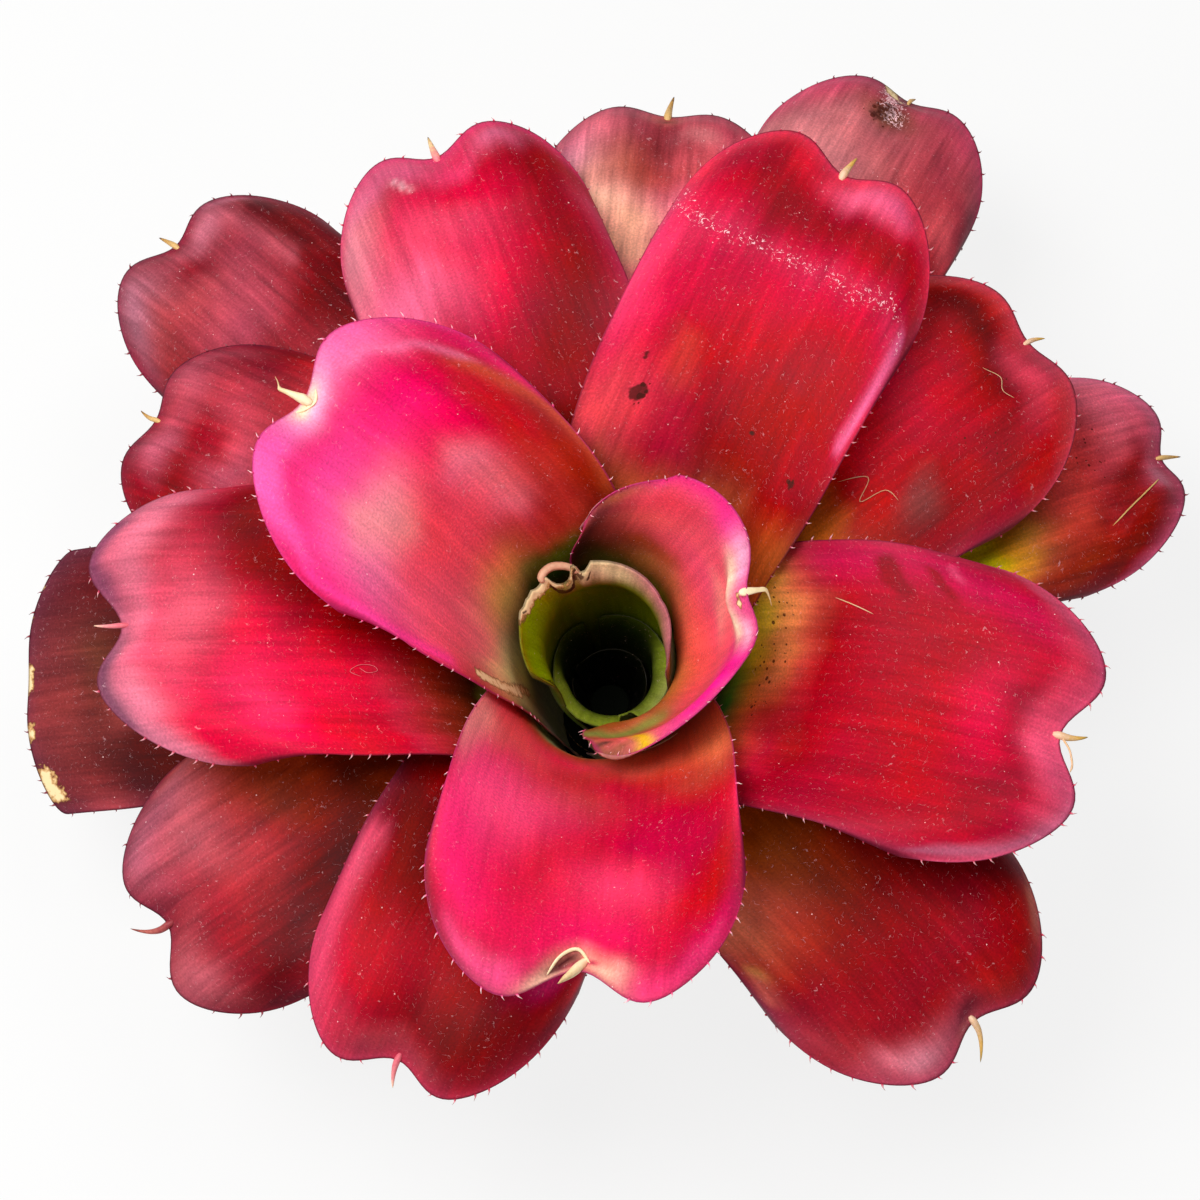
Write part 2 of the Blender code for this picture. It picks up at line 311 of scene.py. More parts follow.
def leaf_surface(leaf, across, along, dents=(), tears=()):
    """The leaf's upper face as points, with where each lies on the flattened leaf. Dents are lines
    or spots with a reach and a height in millimetres, and tears have a place across the end, a half
    width and a depth in millimetres."""
    place = PLACE_OF[leaf.name]
    rounding = ease((along - ROUND_FROM) / ROUND_OVER)
    side = across + (np.sin(across * math.pi / 2.0) - across) * rounding
    torn = np.zeros_like(across)
    for [(middle, half)], depth in tears:
        torn = torn + 0.001 * depth * np.sqrt(np.clip(1.0 - ((across - middle) / half) ** 2, 0.0, 1.0))
    spared = along ** (4 if leaf.width else 1)
    distance = along * leaf.length - (tip_outline(leaf, across, side) + torn) * spared
    level = along - torn * spared / leaf.length
    out, up = midrib(leaf, distance)
    reach = sheath_radius(place, leaf.azimuth) + out
    wide = half_width(leaf, place, along) if leaf.width else math.radians(leaf.half_wrap) * reach
    bladed = ease((distance - SHEATH_LENGTH) / (0.5 * leaf.length))
    azimuth = leaf.azimuth + leaf.sweep * bladed ** 2 - np.degrees(side * wide / reach)
    tipped = ease((along - CURL_FROM) / (1.0 - CURL_FROM))
    short_of_side = (1.0 - np.abs(side)) * wide
    short_of_end = np.maximum(leaf.length - tip_outline(leaf, across, side) - torn - distance, 0.0)
    rim = short_of_side * short_of_end / np.sqrt(short_of_side ** 2 + short_of_end ** 2 + TINY)
    rise = np.zeros_like(side)
    if leaf.width:
        lift = MARGIN_LIFT * math.cos(math.radians(leaf.blade_angle))
        rise = rise + lift * side * side * bladed * (1.0 - MARGIN_DROP * tipped)
        rise = rise - FOLD_DEPTH * tipped * np.exp(-(side / NOTCH_HALF_WIDTH) ** 2)
        rise = rise - leaf.tip / TIP_LENGTH * RIM_ROLL * ease(1.0 - rim / RIM_ROLL_WIDTH) * tipped
        rise = rise + ripple(place, side, distance) * bladed
    for line, dent_reach, height in dents:
        rise = rise + 0.001 * height * near_line(leaf, across, level, line, dent_reach)
    angle = np.radians(slope(leaf, distance))
    radius = sheath_radius(place, azimuth) + out - rise * np.sin(angle)
    height = attach_height(place) + up + rise * np.cos(angle)
    turn = np.radians(azimuth)
    lean = leaf.lean * ease((distance - SHEATH_LENGTH) / LEAN_LENGTH)
    points = np.stack([radius * np.cos(turn) + lean * math.cos(LEAN_TOWARDS),
                       radius * np.sin(turn) + lean * math.sin(LEAN_TOWARDS), height], axis=-1)
    return points, side * wide, distance, rim


# ---------------------------------------------------------------- stem
# A short woody stem with a ring of scar under every leaf, cut off flat. Fibrous and pale where it
# was cut, brown and rough where leaves were pulled off.
STEM_FOOT_RADIUS = 0.028
FOOT_CHAMFER = (0.0012, 0.0010)
STEM_SIDES = 72
STEM_CROWN = 0.0002
SEAT_GAP = 0.0005
SCAR_DEPTH = 0.0006
SMOOTH_BELOW = math.radians(40.0)
BARK_GRAINS_A_METRE = 900.0          # each about a millimetre
FIBRE_BUNDLES_A_METRE = 420.0        # each about 2.4 mm, as in the cut stem of such plants
FACES_UP = 0.9                       # least upward part of a normal on the crown, and downward on the cut


def base_radius(place):
    """The smallest radius of a sheath's inner face at its base."""
    leaf = LEAVES[place]
    edge = int(leaf.half_wrap)
    return min(float(sheath_radius(place, leaf.azimuth + turn)) for turn in range(-edge, edge + 1, 3))


def new_finish(name):
    """A new material, with the tree and the shader that it is made in."""
    made = bpy.data.materials.new(name)
    made.use_nodes = True
    return made, made.node_tree, made.node_tree.nodes["Principled BSDF"]


bpy.ops.object.select_all(action="DESELECT")
profile = [(0.0, attach_height(0) - STEM_CROWN)]
for place in range(len(LEAVES)):
    narrowest = min(base_radius(outer) for outer in range(place, len(LEAVES)))
    height = attach_height(place) - STEM_CROWN
    profile.append((narrowest - SEAT_GAP, height))
    profile.append((narrowest - SEAT_GAP - SCAR_DEPTH, height - 0.5 * ATTACH_STEP))
profile += [(STEM_FOOT_RADIUS + FOOT_CHAMFER[0], FOOT_CHAMFER[1]), (STEM_FOOT_RADIUS, 0.0), (0.0, 0.0)]
mesh = bpy.data.meshes.new("stem")
turned = bmesh.new()
points = [turned.verts.new((radius, 0.0, height)) for radius, height in profile]
for upper, lower in zip(points, points[1:]):
    turned.edges.new((upper, lower))
turned.to_mesh(mesh)
turned.free()
stem = bpy.data.objects.new("cut_stem", mesh)
bpy.context.scene.collection.objects.link(stem)
bpy.context.view_layer.objects.active = stem
stem.select_set(True)
lathe = stem.modifiers.new("Turn", "SCREW")
lathe.steps = lathe.render_steps = STEM_SIDES
lathe.use_merge_vertices = True
lathe.merge_threshold = 0.00001
bpy.ops.object.modifier_apply(modifier="Turn")
bpy.ops.object.shade_smooth_by_angle(angle=SMOOTH_BELOW)

# Dead woody tissue: matt, with the ends of its fibres showing as pale dots on the cut face. Right
# at the growing point its upward face is painted almost black: painted shade deep in the cup.
bark, tree, shader = new_finish("fibrous stem and leaf scars")
where = add_node(tree, "TexCoord").outputs["Object"]
grain = add_node(tree, "TexNoise", {"Vector": where, "Scale": BARK_GRAINS_A_METRE, "Detail": 4.0})
bundles = add_node(tree, "TexVoronoi", {"Vector": where, "Scale": FIBRE_BUNDLES_A_METRE})
fibre = add_node(tree, "ValToRGB", {"Fac": bundles}, [(0.16, "#7a4a26"), (0.34, "#d9bf92")])
rough = add_node(tree, "ValToRGB", {"Fac": grain}, [(0.35, "#4c2f1c"), (0.70, "#a98055")])
facing = add_node(tree, "SeparateXYZ",
                  {0: add_node(tree, "NewGeometry").outputs["Normal"]}).outputs["Z"]
cut = add_node(tree, "Math", {0: facing, 1: -FACES_UP}, operation="LESS_THAN")
skin = add_node(tree, "Mix", {0: cut, 6: rough, 7: fibre}, data_type="RGBA")
# Painted shade: the upward face at the growing point, deep in the cup, is coloured near-black.
shaded_crown = add_node(tree, "Math", {0: facing, 1: FACES_UP}, operation="GREATER_THAN")
skin = add_node(tree, "Mix", {0: shaded_crown, 6: skin, 7: "#070a04"}, data_type="RGBA")
relief = add_node(tree, "Bump", {"Height": grain, "Strength": 0.6, "Distance": 0.0006})
feed(shader, {"Base Color": skin, "Normal": relief, "Roughness": 0.85, "Specular IOR Level": 0.05})
stem.data.materials.append(bark)
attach(stem, "root")
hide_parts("stem")


# ---------------------------------------------------------------- leaf tissue
# Thick, leathery strap leaves. Fine veins run lengthwise under a thin wax bloom, drawn round the tips
# together with a painted sheen, and tiny pale scales, dark pits and hair-fine scratches are scattered
# over them.
VEIN_PITCH_MM = 1.3
TONE_WIDTH_MM = 9.0
DASH_WIDTH_MM = 3.2
GRAIN_MM = 0.8                       # velvety grain, drawn coarser than the real one so that it shows
CLOUD_MM = 22.0
PALE_SCALE_MM = 3.4                  # between pale scales, of which half are missing: coarser, too
DARK_PIT_MM = 6.5
SPECK_MM = 2.3                       # between the dark specks of a specked patch
SCRATCH_CELL_MM = 4.0
SCRATCH_BENDS, SCRATCH_BREAKS, CRUST_BITS, RAGGED_BITS = 0.35, 0.7, 1.3, 0.5    # in a millimetre
SCRATCH_WIDTH = 0.013
BACK_VEINS = (0.9, 0.03, 1.0)        # across the leaf, one in 1.1 mm
BACK_BANDS = (0.025, 0.16, 1.0)      # along it, one in about 6 mm
HORN_MOTTLES_A_METRE = 900.0
LOW, HIGH = 0.3, 0.7                 # the span within which a noise pattern mostly stays
LEAF_IOR = 1.45
HORN_IOR = 1.5


def leaf_skin(name, roughness, mottle, veined, bloom_sheen_ink, rim_ink):
    """The upper skin of a leaf. The mesh carries its ground colour, its distance from the rim, its
    bloom with a painted sheen, and how scurfy, specked or dried out it is."""
    made, tree, shader = new_finish(name)
    on_leaf = add_node(tree, "UVMap", uv_map="leaf_mm")
    marks = {mark: add_node(tree, "Attribute", attribute_name=mark).outputs
             for mark in ("ground", "bloom", "rim_mm", "scurf", "speck", "dry")}
    noise = {}
    for part, lengthwise, size, detail, uneven in (      # lengthwise: how far a pattern is drawn out
            ("veins", 0.03, VEIN_PITCH_MM, 2.0, 0.5), ("tones", 0.22, TONE_WIDTH_MM, 4.0, 0.5),
            ("dashes", 0.09, DASH_WIDTH_MM, 6.0, 0.62), ("grain", 1.0, GRAIN_MM, 2.0, 0.5),
            ("cloud", 1.0, CLOUD_MM, 6.0, 0.6)):
        drawn = on_leaf
        if lengthwise < 1.0:
            drawn = add_node(tree, "Mapping", {"Vector": on_leaf, "Scale": (1.0, lengthwise, 1.0)})
        noise[part] = add_node(tree, "TexNoise", {"Vector": drawn, "Scale": 1.0 / size,
                                                  "Detail": detail, "Roughness": uneven})

    # Light and dark of the skin: veins, broad streaks, grain and blotches
    lit = add_node(tree, "MapRange", {0: noise["veins"], 1: LOW, 2: HIGH, 3: 1.0 - veined,
                                      4: 1.0 + veined})
    for part, amount in (("tones", 0.7 * mottle), ("dashes", 1.1 * mottle), ("grain", 0.19),
                         ("cloud", 0.9 * mottle)):
        change = add_node(tree, "MapRange", {0: noise[part], 1: LOW, 2: HIGH, 3: 1.0 - amount,
                                             4: 1.0 + 0.7 * amount})
        lit = add_node(tree, "Math", {0: lit, 1: change}, operation="MULTIPLY")
    turned = add_node(tree, "MapRange", {0: noise["cloud"], 1: LOW, 2: HIGH, 3: 0.498, 4: 0.503})
    skin = add_node(tree, "HueSaturation", {"Color": marks["ground"]["Color"], "Hue": turned,
                                            "Saturation": 1.04, "Value": lit})
    # Bloom and painted sheen: a pale haze round the tip, as fine as the grain and darker the older the
    #     # leaf, standing both for the wax bloom and for the soft sheen of light on the curled lobes
    frost_sheen = add_node(tree, "MapRange", {0: noise["grain"], 1: LOW, 2: HIGH, 3: 0.8, 4: 1.15})
    frost_sheen = add_node(tree, "Math", {0: frost_sheen, 1: marks["bloom"]["Fac"]}, operation="MULTIPLY",
                     use_clamp=True)
    layers = [(frost_sheen, bloom_sheen_ink)]                # each laid over those before it, in its share

    # Pale scales, dark pits and specks: some cells of a Voronoi pattern hold a dot, up to most in
    # radius as a share of the pitch
    for pitch, most, extra, ink, strength in ((PALE_SCALE_MM, 0.068, None, "#ffe0de", 0.78),
                                              (DARK_PIT_MM, 0.034, None, "#3a100c", 0.62),
                                              (SPECK_MM, -0.02, marks["speck"]["Fac"], "#4a1408", 0.85)):
        cells = add_node(tree, "TexVoronoi", {"Vector": on_leaf, "Scale": 1.0 / pitch}).outputs
        size = add_node(tree, "MapRange", {0: cells["Color"], 1: 0.35, 2: 0.95, 3: 0.0, 4: most})
        if extra:                                # specks are as large as the mark is strong
            size = add_node(tree, "Math", {0: cells["Color"], 1: extra, 2: size},
                            operation="MULTIPLY_ADD")
        dots = add_node(tree, "Math", {0: size, 1: cells["Distance"]}, operation="GREATER_THAN")
        shown = add_node(tree, "Math", {0: dots, 1: strength}, operation="MULTIPLY")
        layers.append((shown, ink))

    # Scratches and scurf: broken, wandering hairlines, thickest where the leaf is marked scurfy
    wander = add_node(tree, "TexNoise", {"Vector": on_leaf, "Scale": SCRATCH_BENDS, "Detail": 1.0})
    wander = add_node(tree, "VectorMath", {0: wander.outputs["Color"], 1: (7.0, 7.0, 0.0),
                                           2: on_leaf}, operation="MULTIPLY_ADD")
    hairs = add_node(tree, "TexVoronoi", {"Vector": wander, "Scale": 1.0 / SCRATCH_CELL_MM},
                     feature="DISTANCE_TO_EDGE")
    bits = add_node(tree, "TexNoise", {"Vector": on_leaf, "Scale": SCRATCH_BREAKS, "Detail": 3.0})
    width = add_node(tree, "MapRange", {0: bits, 1: 0.50, 2: 0.70, 3: 0.0, 4: SCRATCH_WIDTH})
    hairs = add_node(tree, "Math", {0: width, 1: hairs}, operation="GREATER_THAN")
    crust = add_node(tree, "TexNoise", {"Vector": wander, "Scale": CRUST_BITS, "Detail": 3.0})
    clumps = add_node(tree, "MapRange", {0: bits, 1: 0.35, 2: 0.65, 3: 0.70, 4: 1.12})
    crust = add_node(tree, "Math", {0: clumps, 1: marks["scurf"]["Fac"], 2: crust},
                     operation="MULTIPLY_ADD")
    crust = add_node(tree, "MapRange", {0: crust, 1: 1.02, 2: 1.10, 3: 0.0, 4: 0.85})
    scurf = add_node(tree, "Math", {0: hairs, 1: 0.20, 2: crust}, operation="MULTIPLY_ADD",
                     use_clamp=True)
    layers.append((scurf, "#ffd0d6"))

    # Dried tissue: cream, with a ragged brown border
    ragged = add_node(tree, "TexNoise", {"Vector": on_leaf, "Scale": RAGGED_BITS, "Detail": 4.0})
    dying = add_node(tree, "Math", {0: ragged, 1: 0.7, 2: marks["dry"]["Fac"]},
                     operation="MULTIPLY_ADD")
    dried = add_node(tree, "ValToRGB", {"Fac": dying},
                     [(0.80, "#5a2a18"), (0.90, "#c99a62"), (1.0, "#f3d9a6")])
    dead = add_node(tree, "MapRange", {0: dying, 1: 0.76, 2: 0.84, 3: 0.0, 4: 0.95})
    layers.append((dead, dried))

    # Scars: where the speck mark is strongest the pits run together into a brown spot
    scar = add_node(tree, "Math", {0: ragged, 1: 0.5, 2: marks["speck"]["Fac"]},
                    operation="MULTIPLY_ADD")
    scar = add_node(tree, "MapRange", {0: scar, 1: 0.70, 2: 0.86, 3: 0.0, 4: 0.85})
    layers.append((scar, "#3a140e"))

    # The rim itself is a hard dark line
    line = add_node(tree, "MapRange", {0: marks["rim_mm"]["Fac"], 1: 0.15, 2: 0.7, 3: 0.65, 4: 0.0})
    layers.append((line, rim_ink))
    for share, ink in layers:
        skin = add_node(tree, "Mix", {0: share, 6: skin, 7: ink}, data_type="RGBA")

    relief = add_node(tree, "Math", {0: noise["grain"], 1: 0.5, 2: noise["veins"]},
                      operation="MULTIPLY_ADD")
    bump = add_node(tree, "Bump", {"Height": relief, "Strength": 0.18, "Distance": 0.0004})
    gloss = add_node(tree, "MapRange", {0: noise["cloud"], 1: LOW, 2: HIGH,
                                        3: roughness - 0.06, 4: roughness + 0.06})
    feed(shader, {"Base Color": skin, "Normal": bump, "Roughness": gloss, "IOR": LEAF_IOR,
                  "Specular IOR Level": 0.07})
    return made


def leaf_back(name, tone):
    """The underside: duller, greyer, banded across by the pale scales that young leaves dust off."""
    made, tree, shader = new_finish(name)
    on_leaf = add_node(tree, "UVMap", uv_map="leaf_mm")
    ground = add_node(tree, "Attribute", attribute_name="ground")
    along = add_node(tree, "Mapping", {"Vector": on_leaf, "Scale": BACK_VEINS})
    veins = add_node(tree, "TexNoise", {"Vector": along, "Scale": 1.0, "Detail": 2.0})
    across = add_node(tree, "Mapping", {"Vector": on_leaf, "Scale": BACK_BANDS})
    bands = add_node(tree, "TexNoise", {"Vector": across, "Scale": 1.0, "Detail": 3.0})
    dull = add_node(tree, "Mix", {0: 0.62, 6: ground, 7: tone}, data_type="RGBA")
    lit = add_node(tree, "MapRange", {0: veins, 1: LOW, 2: HIGH, 3: 0.72, 4: 1.2})
    lined = add_node(tree, "HueSaturation", {"Color": dull, "Value": lit})
    dust = add_node(tree, "MapRange", {0: bands, 1: 0.48, 2: 0.66, 3: 0.0, 4: 0.34})
    pale = add_node(tree, "Mix", {0: dust, 6: lined, 7: "#c9bcae"}, data_type="RGBA")
    bump = add_node(tree, "Bump", {"Height": veins, "Strength": 0.5, "Distance": 0.0004})
    feed(shader, {"Base Color": pale, "Normal": bump, "Roughness": 0.6, "IOR": LEAF_IOR,
                  "Specular IOR Level": 0.25})
    return made


def horn(name, root, middle, point):
    """Hard dry horn of the spines and teeth, a little glossy, changing colour from root to point."""
    made, tree, shader = new_finish(name)
    reach = add_node(tree, "Attribute", attribute_name="reach").outputs["Fac"]
    where = add_node(tree, "TexCoord").outputs["Object"]
    mottle = add_node(tree, "TexNoise", {"Vector": where, "Scale": HORN_MOTTLES_A_METRE, "Detail": 2.0})
    shift = add_node(tree, "MapRange", {0: mottle, 1: LOW, 2: HIGH, 3: -0.12, 4: 0.12})
    spot = add_node(tree, "Math", {0: reach, 1: shift}, operation="ADD")
    ramp = add_node(tree, "ValToRGB", {"Fac": spot}, [(0.10, root), (0.60, middle), (0.95, point)])
    feed(shader, {"Base Color": ramp, "Roughness": 0.5, "IOR": HORN_IOR, "Specular IOR Level": 0.3})
    return made


BLADE_COLUMNS = 64
BLADE_ROWS = 124
TOOTH_PITCH = 0.0068
TOOTH_LENGTH = 0.0019
TOOTH_ROOT = 0.00045                 # half its width where it grows from the rim
TOOTH_SUNK = 0.0002                  # how deep it sits in the rim
TEETH_FROM = 0.30                    # share of the length below which the rim is clasped and smooth
TEETH_LOST = 0.10
BLOOM_FADE = 0.0035                  # from the rim inwards
RIM_THINNED = 0.006                  # width of the rim over which a leaf thins
UV_STEP_MM = 130.0                   # between the leaves' own places in the patterns
WAVER = 0.014                        # how far, as a share of the length, a colour's border strays
TEETH, SPINE = 2, 3                  # places of their finishes after a leaf's skin and back
BLOOM_FROM, BLOOM_OVER = 0.45, 0.4   # share of the length where bloom begins, and over which it grows
RIM_SHARE = 0.35                     # of the full thickness, left at the rim
SPINE_ROWS = 3                       # rows back from the notch, which give a spine its heading
GLUE_MM = 0.1                        # between a leaf and the middle of a strand that lies on it


def unit(vectors):
    return vectors / np.linalg.norm(vectors, axis=-1, keepdims=True)


def new_tooth():
    """One hooked tooth along +X with its root at the origin, as corners, faces and how far out
    along the tooth each corner lies."""
    bpy.ops.object.select_all(action="DESELECT")
    bpy.ops.mesh.primitive_cone_add(vertices=5, radius1=1.0, radius2=0.1, depth=1.0)
    cone = bpy.context.object
    bpy.ops.object.mode_set(mode="EDIT")
    bpy.ops.mesh.select_all(action="SELECT")
    bpy.ops.mesh.subdivide(number_cuts=1)
    bpy.ops.object.mode_set(mode="OBJECT")
    reach = [vertex.co.z + 0.5 for vertex in cone.data.vertices]
    corners = [Vector((TOOTH_LENGTH * (out - 0.15),
                       TOOTH_ROOT * vertex.co.x + 0.55 * TOOTH_LENGTH * out ** 2,
                       0.55 * TOOTH_ROOT * vertex.co.y))
               for out, vertex in zip(reach, cone.data.vertices)]
    faces = [tuple(face.vertices) for face in cone.data.polygons]
    bpy.data.objects.remove(cone)
    return corners, faces, reach


TOOTH = new_tooth()


def rim_paths(points):
    """Both rims from the clasping sheath to the notch: each step is a place and its inner
    neighbour, with the way in to the middle column."""
    rows, columns = points.shape[0] - 1, points.shape[1] - 1
    first = int(TEETH_FROM * rows)
    for edge, inward in ((0, 1), (columns, -1)):
        path = [(points[row, edge], points[row, edge + inward]) for row in range(first, rows + 1)]
        path += [(points[rows, column], points[rows - 1, column])
                 for column in range(edge + inward, columns // 2 - 3 * inward, inward)]
        yield path, inward


def grow_teeth(points, dice):
    """Teeth along both rims, a little uneven in pitch and size, some broken away."""
    corners, faces, reach = [], [], []
    for path, inward in rim_paths(points):
        gone = 0.0
        due = TOOTH_PITCH * dice.random()
        for (here, inner), (beyond, _) in zip(path, path[1:]):
            step = float(np.linalg.norm(beyond - here))
            gone += step
            if gone < due or step < 1e-6:
                continue
            due += TOOTH_PITCH * dice.uniform(0.7, 1.3)
            if dice.random() < TEETH_LOST:
                continue
            forward = Vector(beyond - here).normalized()
            outward = Vector(here - inner)
            outward = (outward - forward * outward.dot(forward)).normalized()
            normal = outward.cross(forward) * inward
            size = dice.uniform(0.6, 1.15)
            turn = Matrix((outward * size, forward * size, normal * size)).transposed()
            root = Vector(here) - normal * TOOTH_SUNK
            first = len(corners)
            corners += [root + turn @ corner for corner in TOOTH[0]]
            faces += [tuple(first + corner for corner in face)[::inward] for face in TOOTH[1]]
            reach += TOOTH[2]
    return corners, faces, reach


def tube(centres, asides, ups, radii, sides=8):
    """A closed tapered tube through the centres, as corners, faces and how far out each corner is."""
    corners, faces, reach = [], [], []
    turns = [2.0 * math.pi * side / sides for side in range(sides)]
    for number, (centre, aside, up, (wide, thick)) in enumerate(zip(centres, asides, ups, radii)):
        corners += [Vector(centre + aside * math.cos(turn) * wide + up * math.sin(turn) * thick)
                    for turn in turns]
        reach += [number / (len(centres) - 1)] * sides
    for ring in range(len(centres) - 1):
        for side in range(sides):
            low, beside = ring * sides + side, ring * sides + (side + 1) % sides
            faces.append((low, low + sides, beside + sides, beside))
    faces.append(tuple(range(sides)))
    faces.append(tuple(range(len(corners) - sides, len(corners)))[::-1])
    return corners, faces, reach


def smooth_run(stops, fineness=6):
    """Points on a smooth curve through the stops."""
    stops = np.array([stops[0]] + list(stops) + [stops[-1]], dtype=float)
    run = []
    for before, start, end, after in zip(stops, stops[1:], stops[2:], stops[3:]):
        for t in np.arange(fineness) / fineness:
            run.append(0.5 * (2.0 * start + (end - before) * t
                              + (2.0 * before - 5.0 * start + 4.0 * end - after) * t ** 2
                              + (3.0 * start - before - 3.0 * end + after) * t ** 3))
    return np.array(run + [stops[-1]])


def hook(ahead, aside, rise, thick):
    """A tip spine's steps: forwards, aside, up and radius in millimetres, from its swollen root
    inside the notch to its point."""
    return [(-2.6, 0.0, -0.6, 0.55 * thick), (-0.8, 0.0, 0.2, thick)] + [
        (ahead * t, aside * t ** 2, 0.4 + rise * t ** 2, thick * (1.0 - t) ** 0.6 + 0.06)
        for t in (0.2, 0.4, 0.6, 0.8, 0.93, 1.0)]


def grow_spine(points, steps):
    """The spine in the notch."""
    middle = points.shape[1] // 2
    root = points[-1, middle]
    behind = points[-1 - SPINE_ROWS]
    forward = unit(root - behind[middle])
    aside = unit(behind[middle + 1] - behind[middle - 1])
    up = np.cross(aside, forward)
    run = 0.001 * smooth_run(steps, 3)
    return tube([root + forward * step[0] + aside * step[1] + up * step[2] for step in run],
                [aside] * len(run), [up] * len(run), [(step[3], step[3]) for step in run])


def grow_strand(leaf, stops, wide, thick, dents):
    """A thread, fibre or torn ribbon that follows the leaf through stops of (across, along, lift in
    millimetres), with its half width and half thickness in millimetres. A pale one can also stand for
    the painted highlight along a crease."""
    across, along, lift = smooth_run(stops).T
    nudge = 0.002
    here = leaf_surface(leaf, across, along, dents)[0]
    beside = leaf_surface(leaf, across + nudge, along, dents)[0] - here
    onward = leaf_surface(leaf, across, along - nudge, dents)[0] - here
    up = unit(np.cross(onward, beside))
    centres = here + up * (0.001 * lift + 0.001 * GLUE_MM)[:, None]
    aside = unit(np.cross(np.gradient(centres, axis=0), up))
    taper = np.minimum(1.0, 0.25 + np.minimum(np.arange(len(lift)), np.arange(len(lift))[::-1]) / 4.0)
    radii = [(0.001 * wide * t, 0.001 * thick * t) for t in taper]
    corners, faces, reach = tube(centres, aside, up, radii, sides=6)
    return corners, faces, [0.25] * len(reach)


def put(mesh, name, kind, values):
    """Writes one value a point into the mesh, for the materials to read."""
    layer = mesh.attributes.new(name, kind, "POINT")
    layer.data.foreach_set("color" if kind == "FLOAT_COLOR" else "value",
                           np.asarray(values, dtype=np.float32).ravel())


def hundredths(text):
    return round(float(text) / 100.0, 6)


def strokes(text):
    """Marks on a leaf, parted by semicolons or lines. Each is a run of places, written across,along
    in hundredths of the half width and of the length (and on a strand with its lift in
    millimetres), and then the mark's own numbers and its ink."""
    marks = []
    for words in map(str.split, text.replace("\n", ";").split(";")):
        places = [word.split(",") for word in words if "," in word]
        rest = [word if word[0] == "#" else float(word) for word in words if "," not in word]
        if words:
            marks.append(([(hundredths(across), hundredths(along), *map(float, lift))
                           for across, along, *lift in places], *rest))
    return marks


def painted(leaf, across, along, ground, washes):
    """Ground colours along the leaf and soft washes of other colours over them; some washes are painted
    shade or painted light, as noted where the leaves are grown. Colour runs out along the veins, so its
    borders waver from vein to vein."""
    dice = random.Random("paint " + leaf.name)
    waver = np.zeros_like(across)
    for pitch in (3.0, 7.0, 13.0, 23.0, 41.0):
        turn, drift = 6.3 * dice.random(), dice.uniform(-9.0, 9.0)
        waver = waver + np.sin(pitch * across + turn + drift * along) / pitch ** 0.4
    along = along + WAVER * waver * ease(along / 0.3) * ease((1.0 - along) / 0.05)
    across = across + 0.4 * WAVER * np.sin(21.0 * along + 9.0 * waver)
    stops, inks = zip(*map(str.split, ground.split(",")))
    inks = np.array([from_hex(ink) for ink in inks])
    stops = [hundredths(stop) for stop in stops]
    colour = np.stack([np.interp(along, stops, inks[:, channel]) for channel in range(3)], axis=-1)
    for line, reach, ink, strength in washes:
        fall = np.minimum(strength * near_line(leaf, across, along, line, reach), 1.0)[..., None]
        colour = colour * (1.0 - fall) + np.array(from_hex(ink)) * fall
    return np.concatenate([colour, np.ones(colour.shape[:-1] + (1,))], axis=-1)


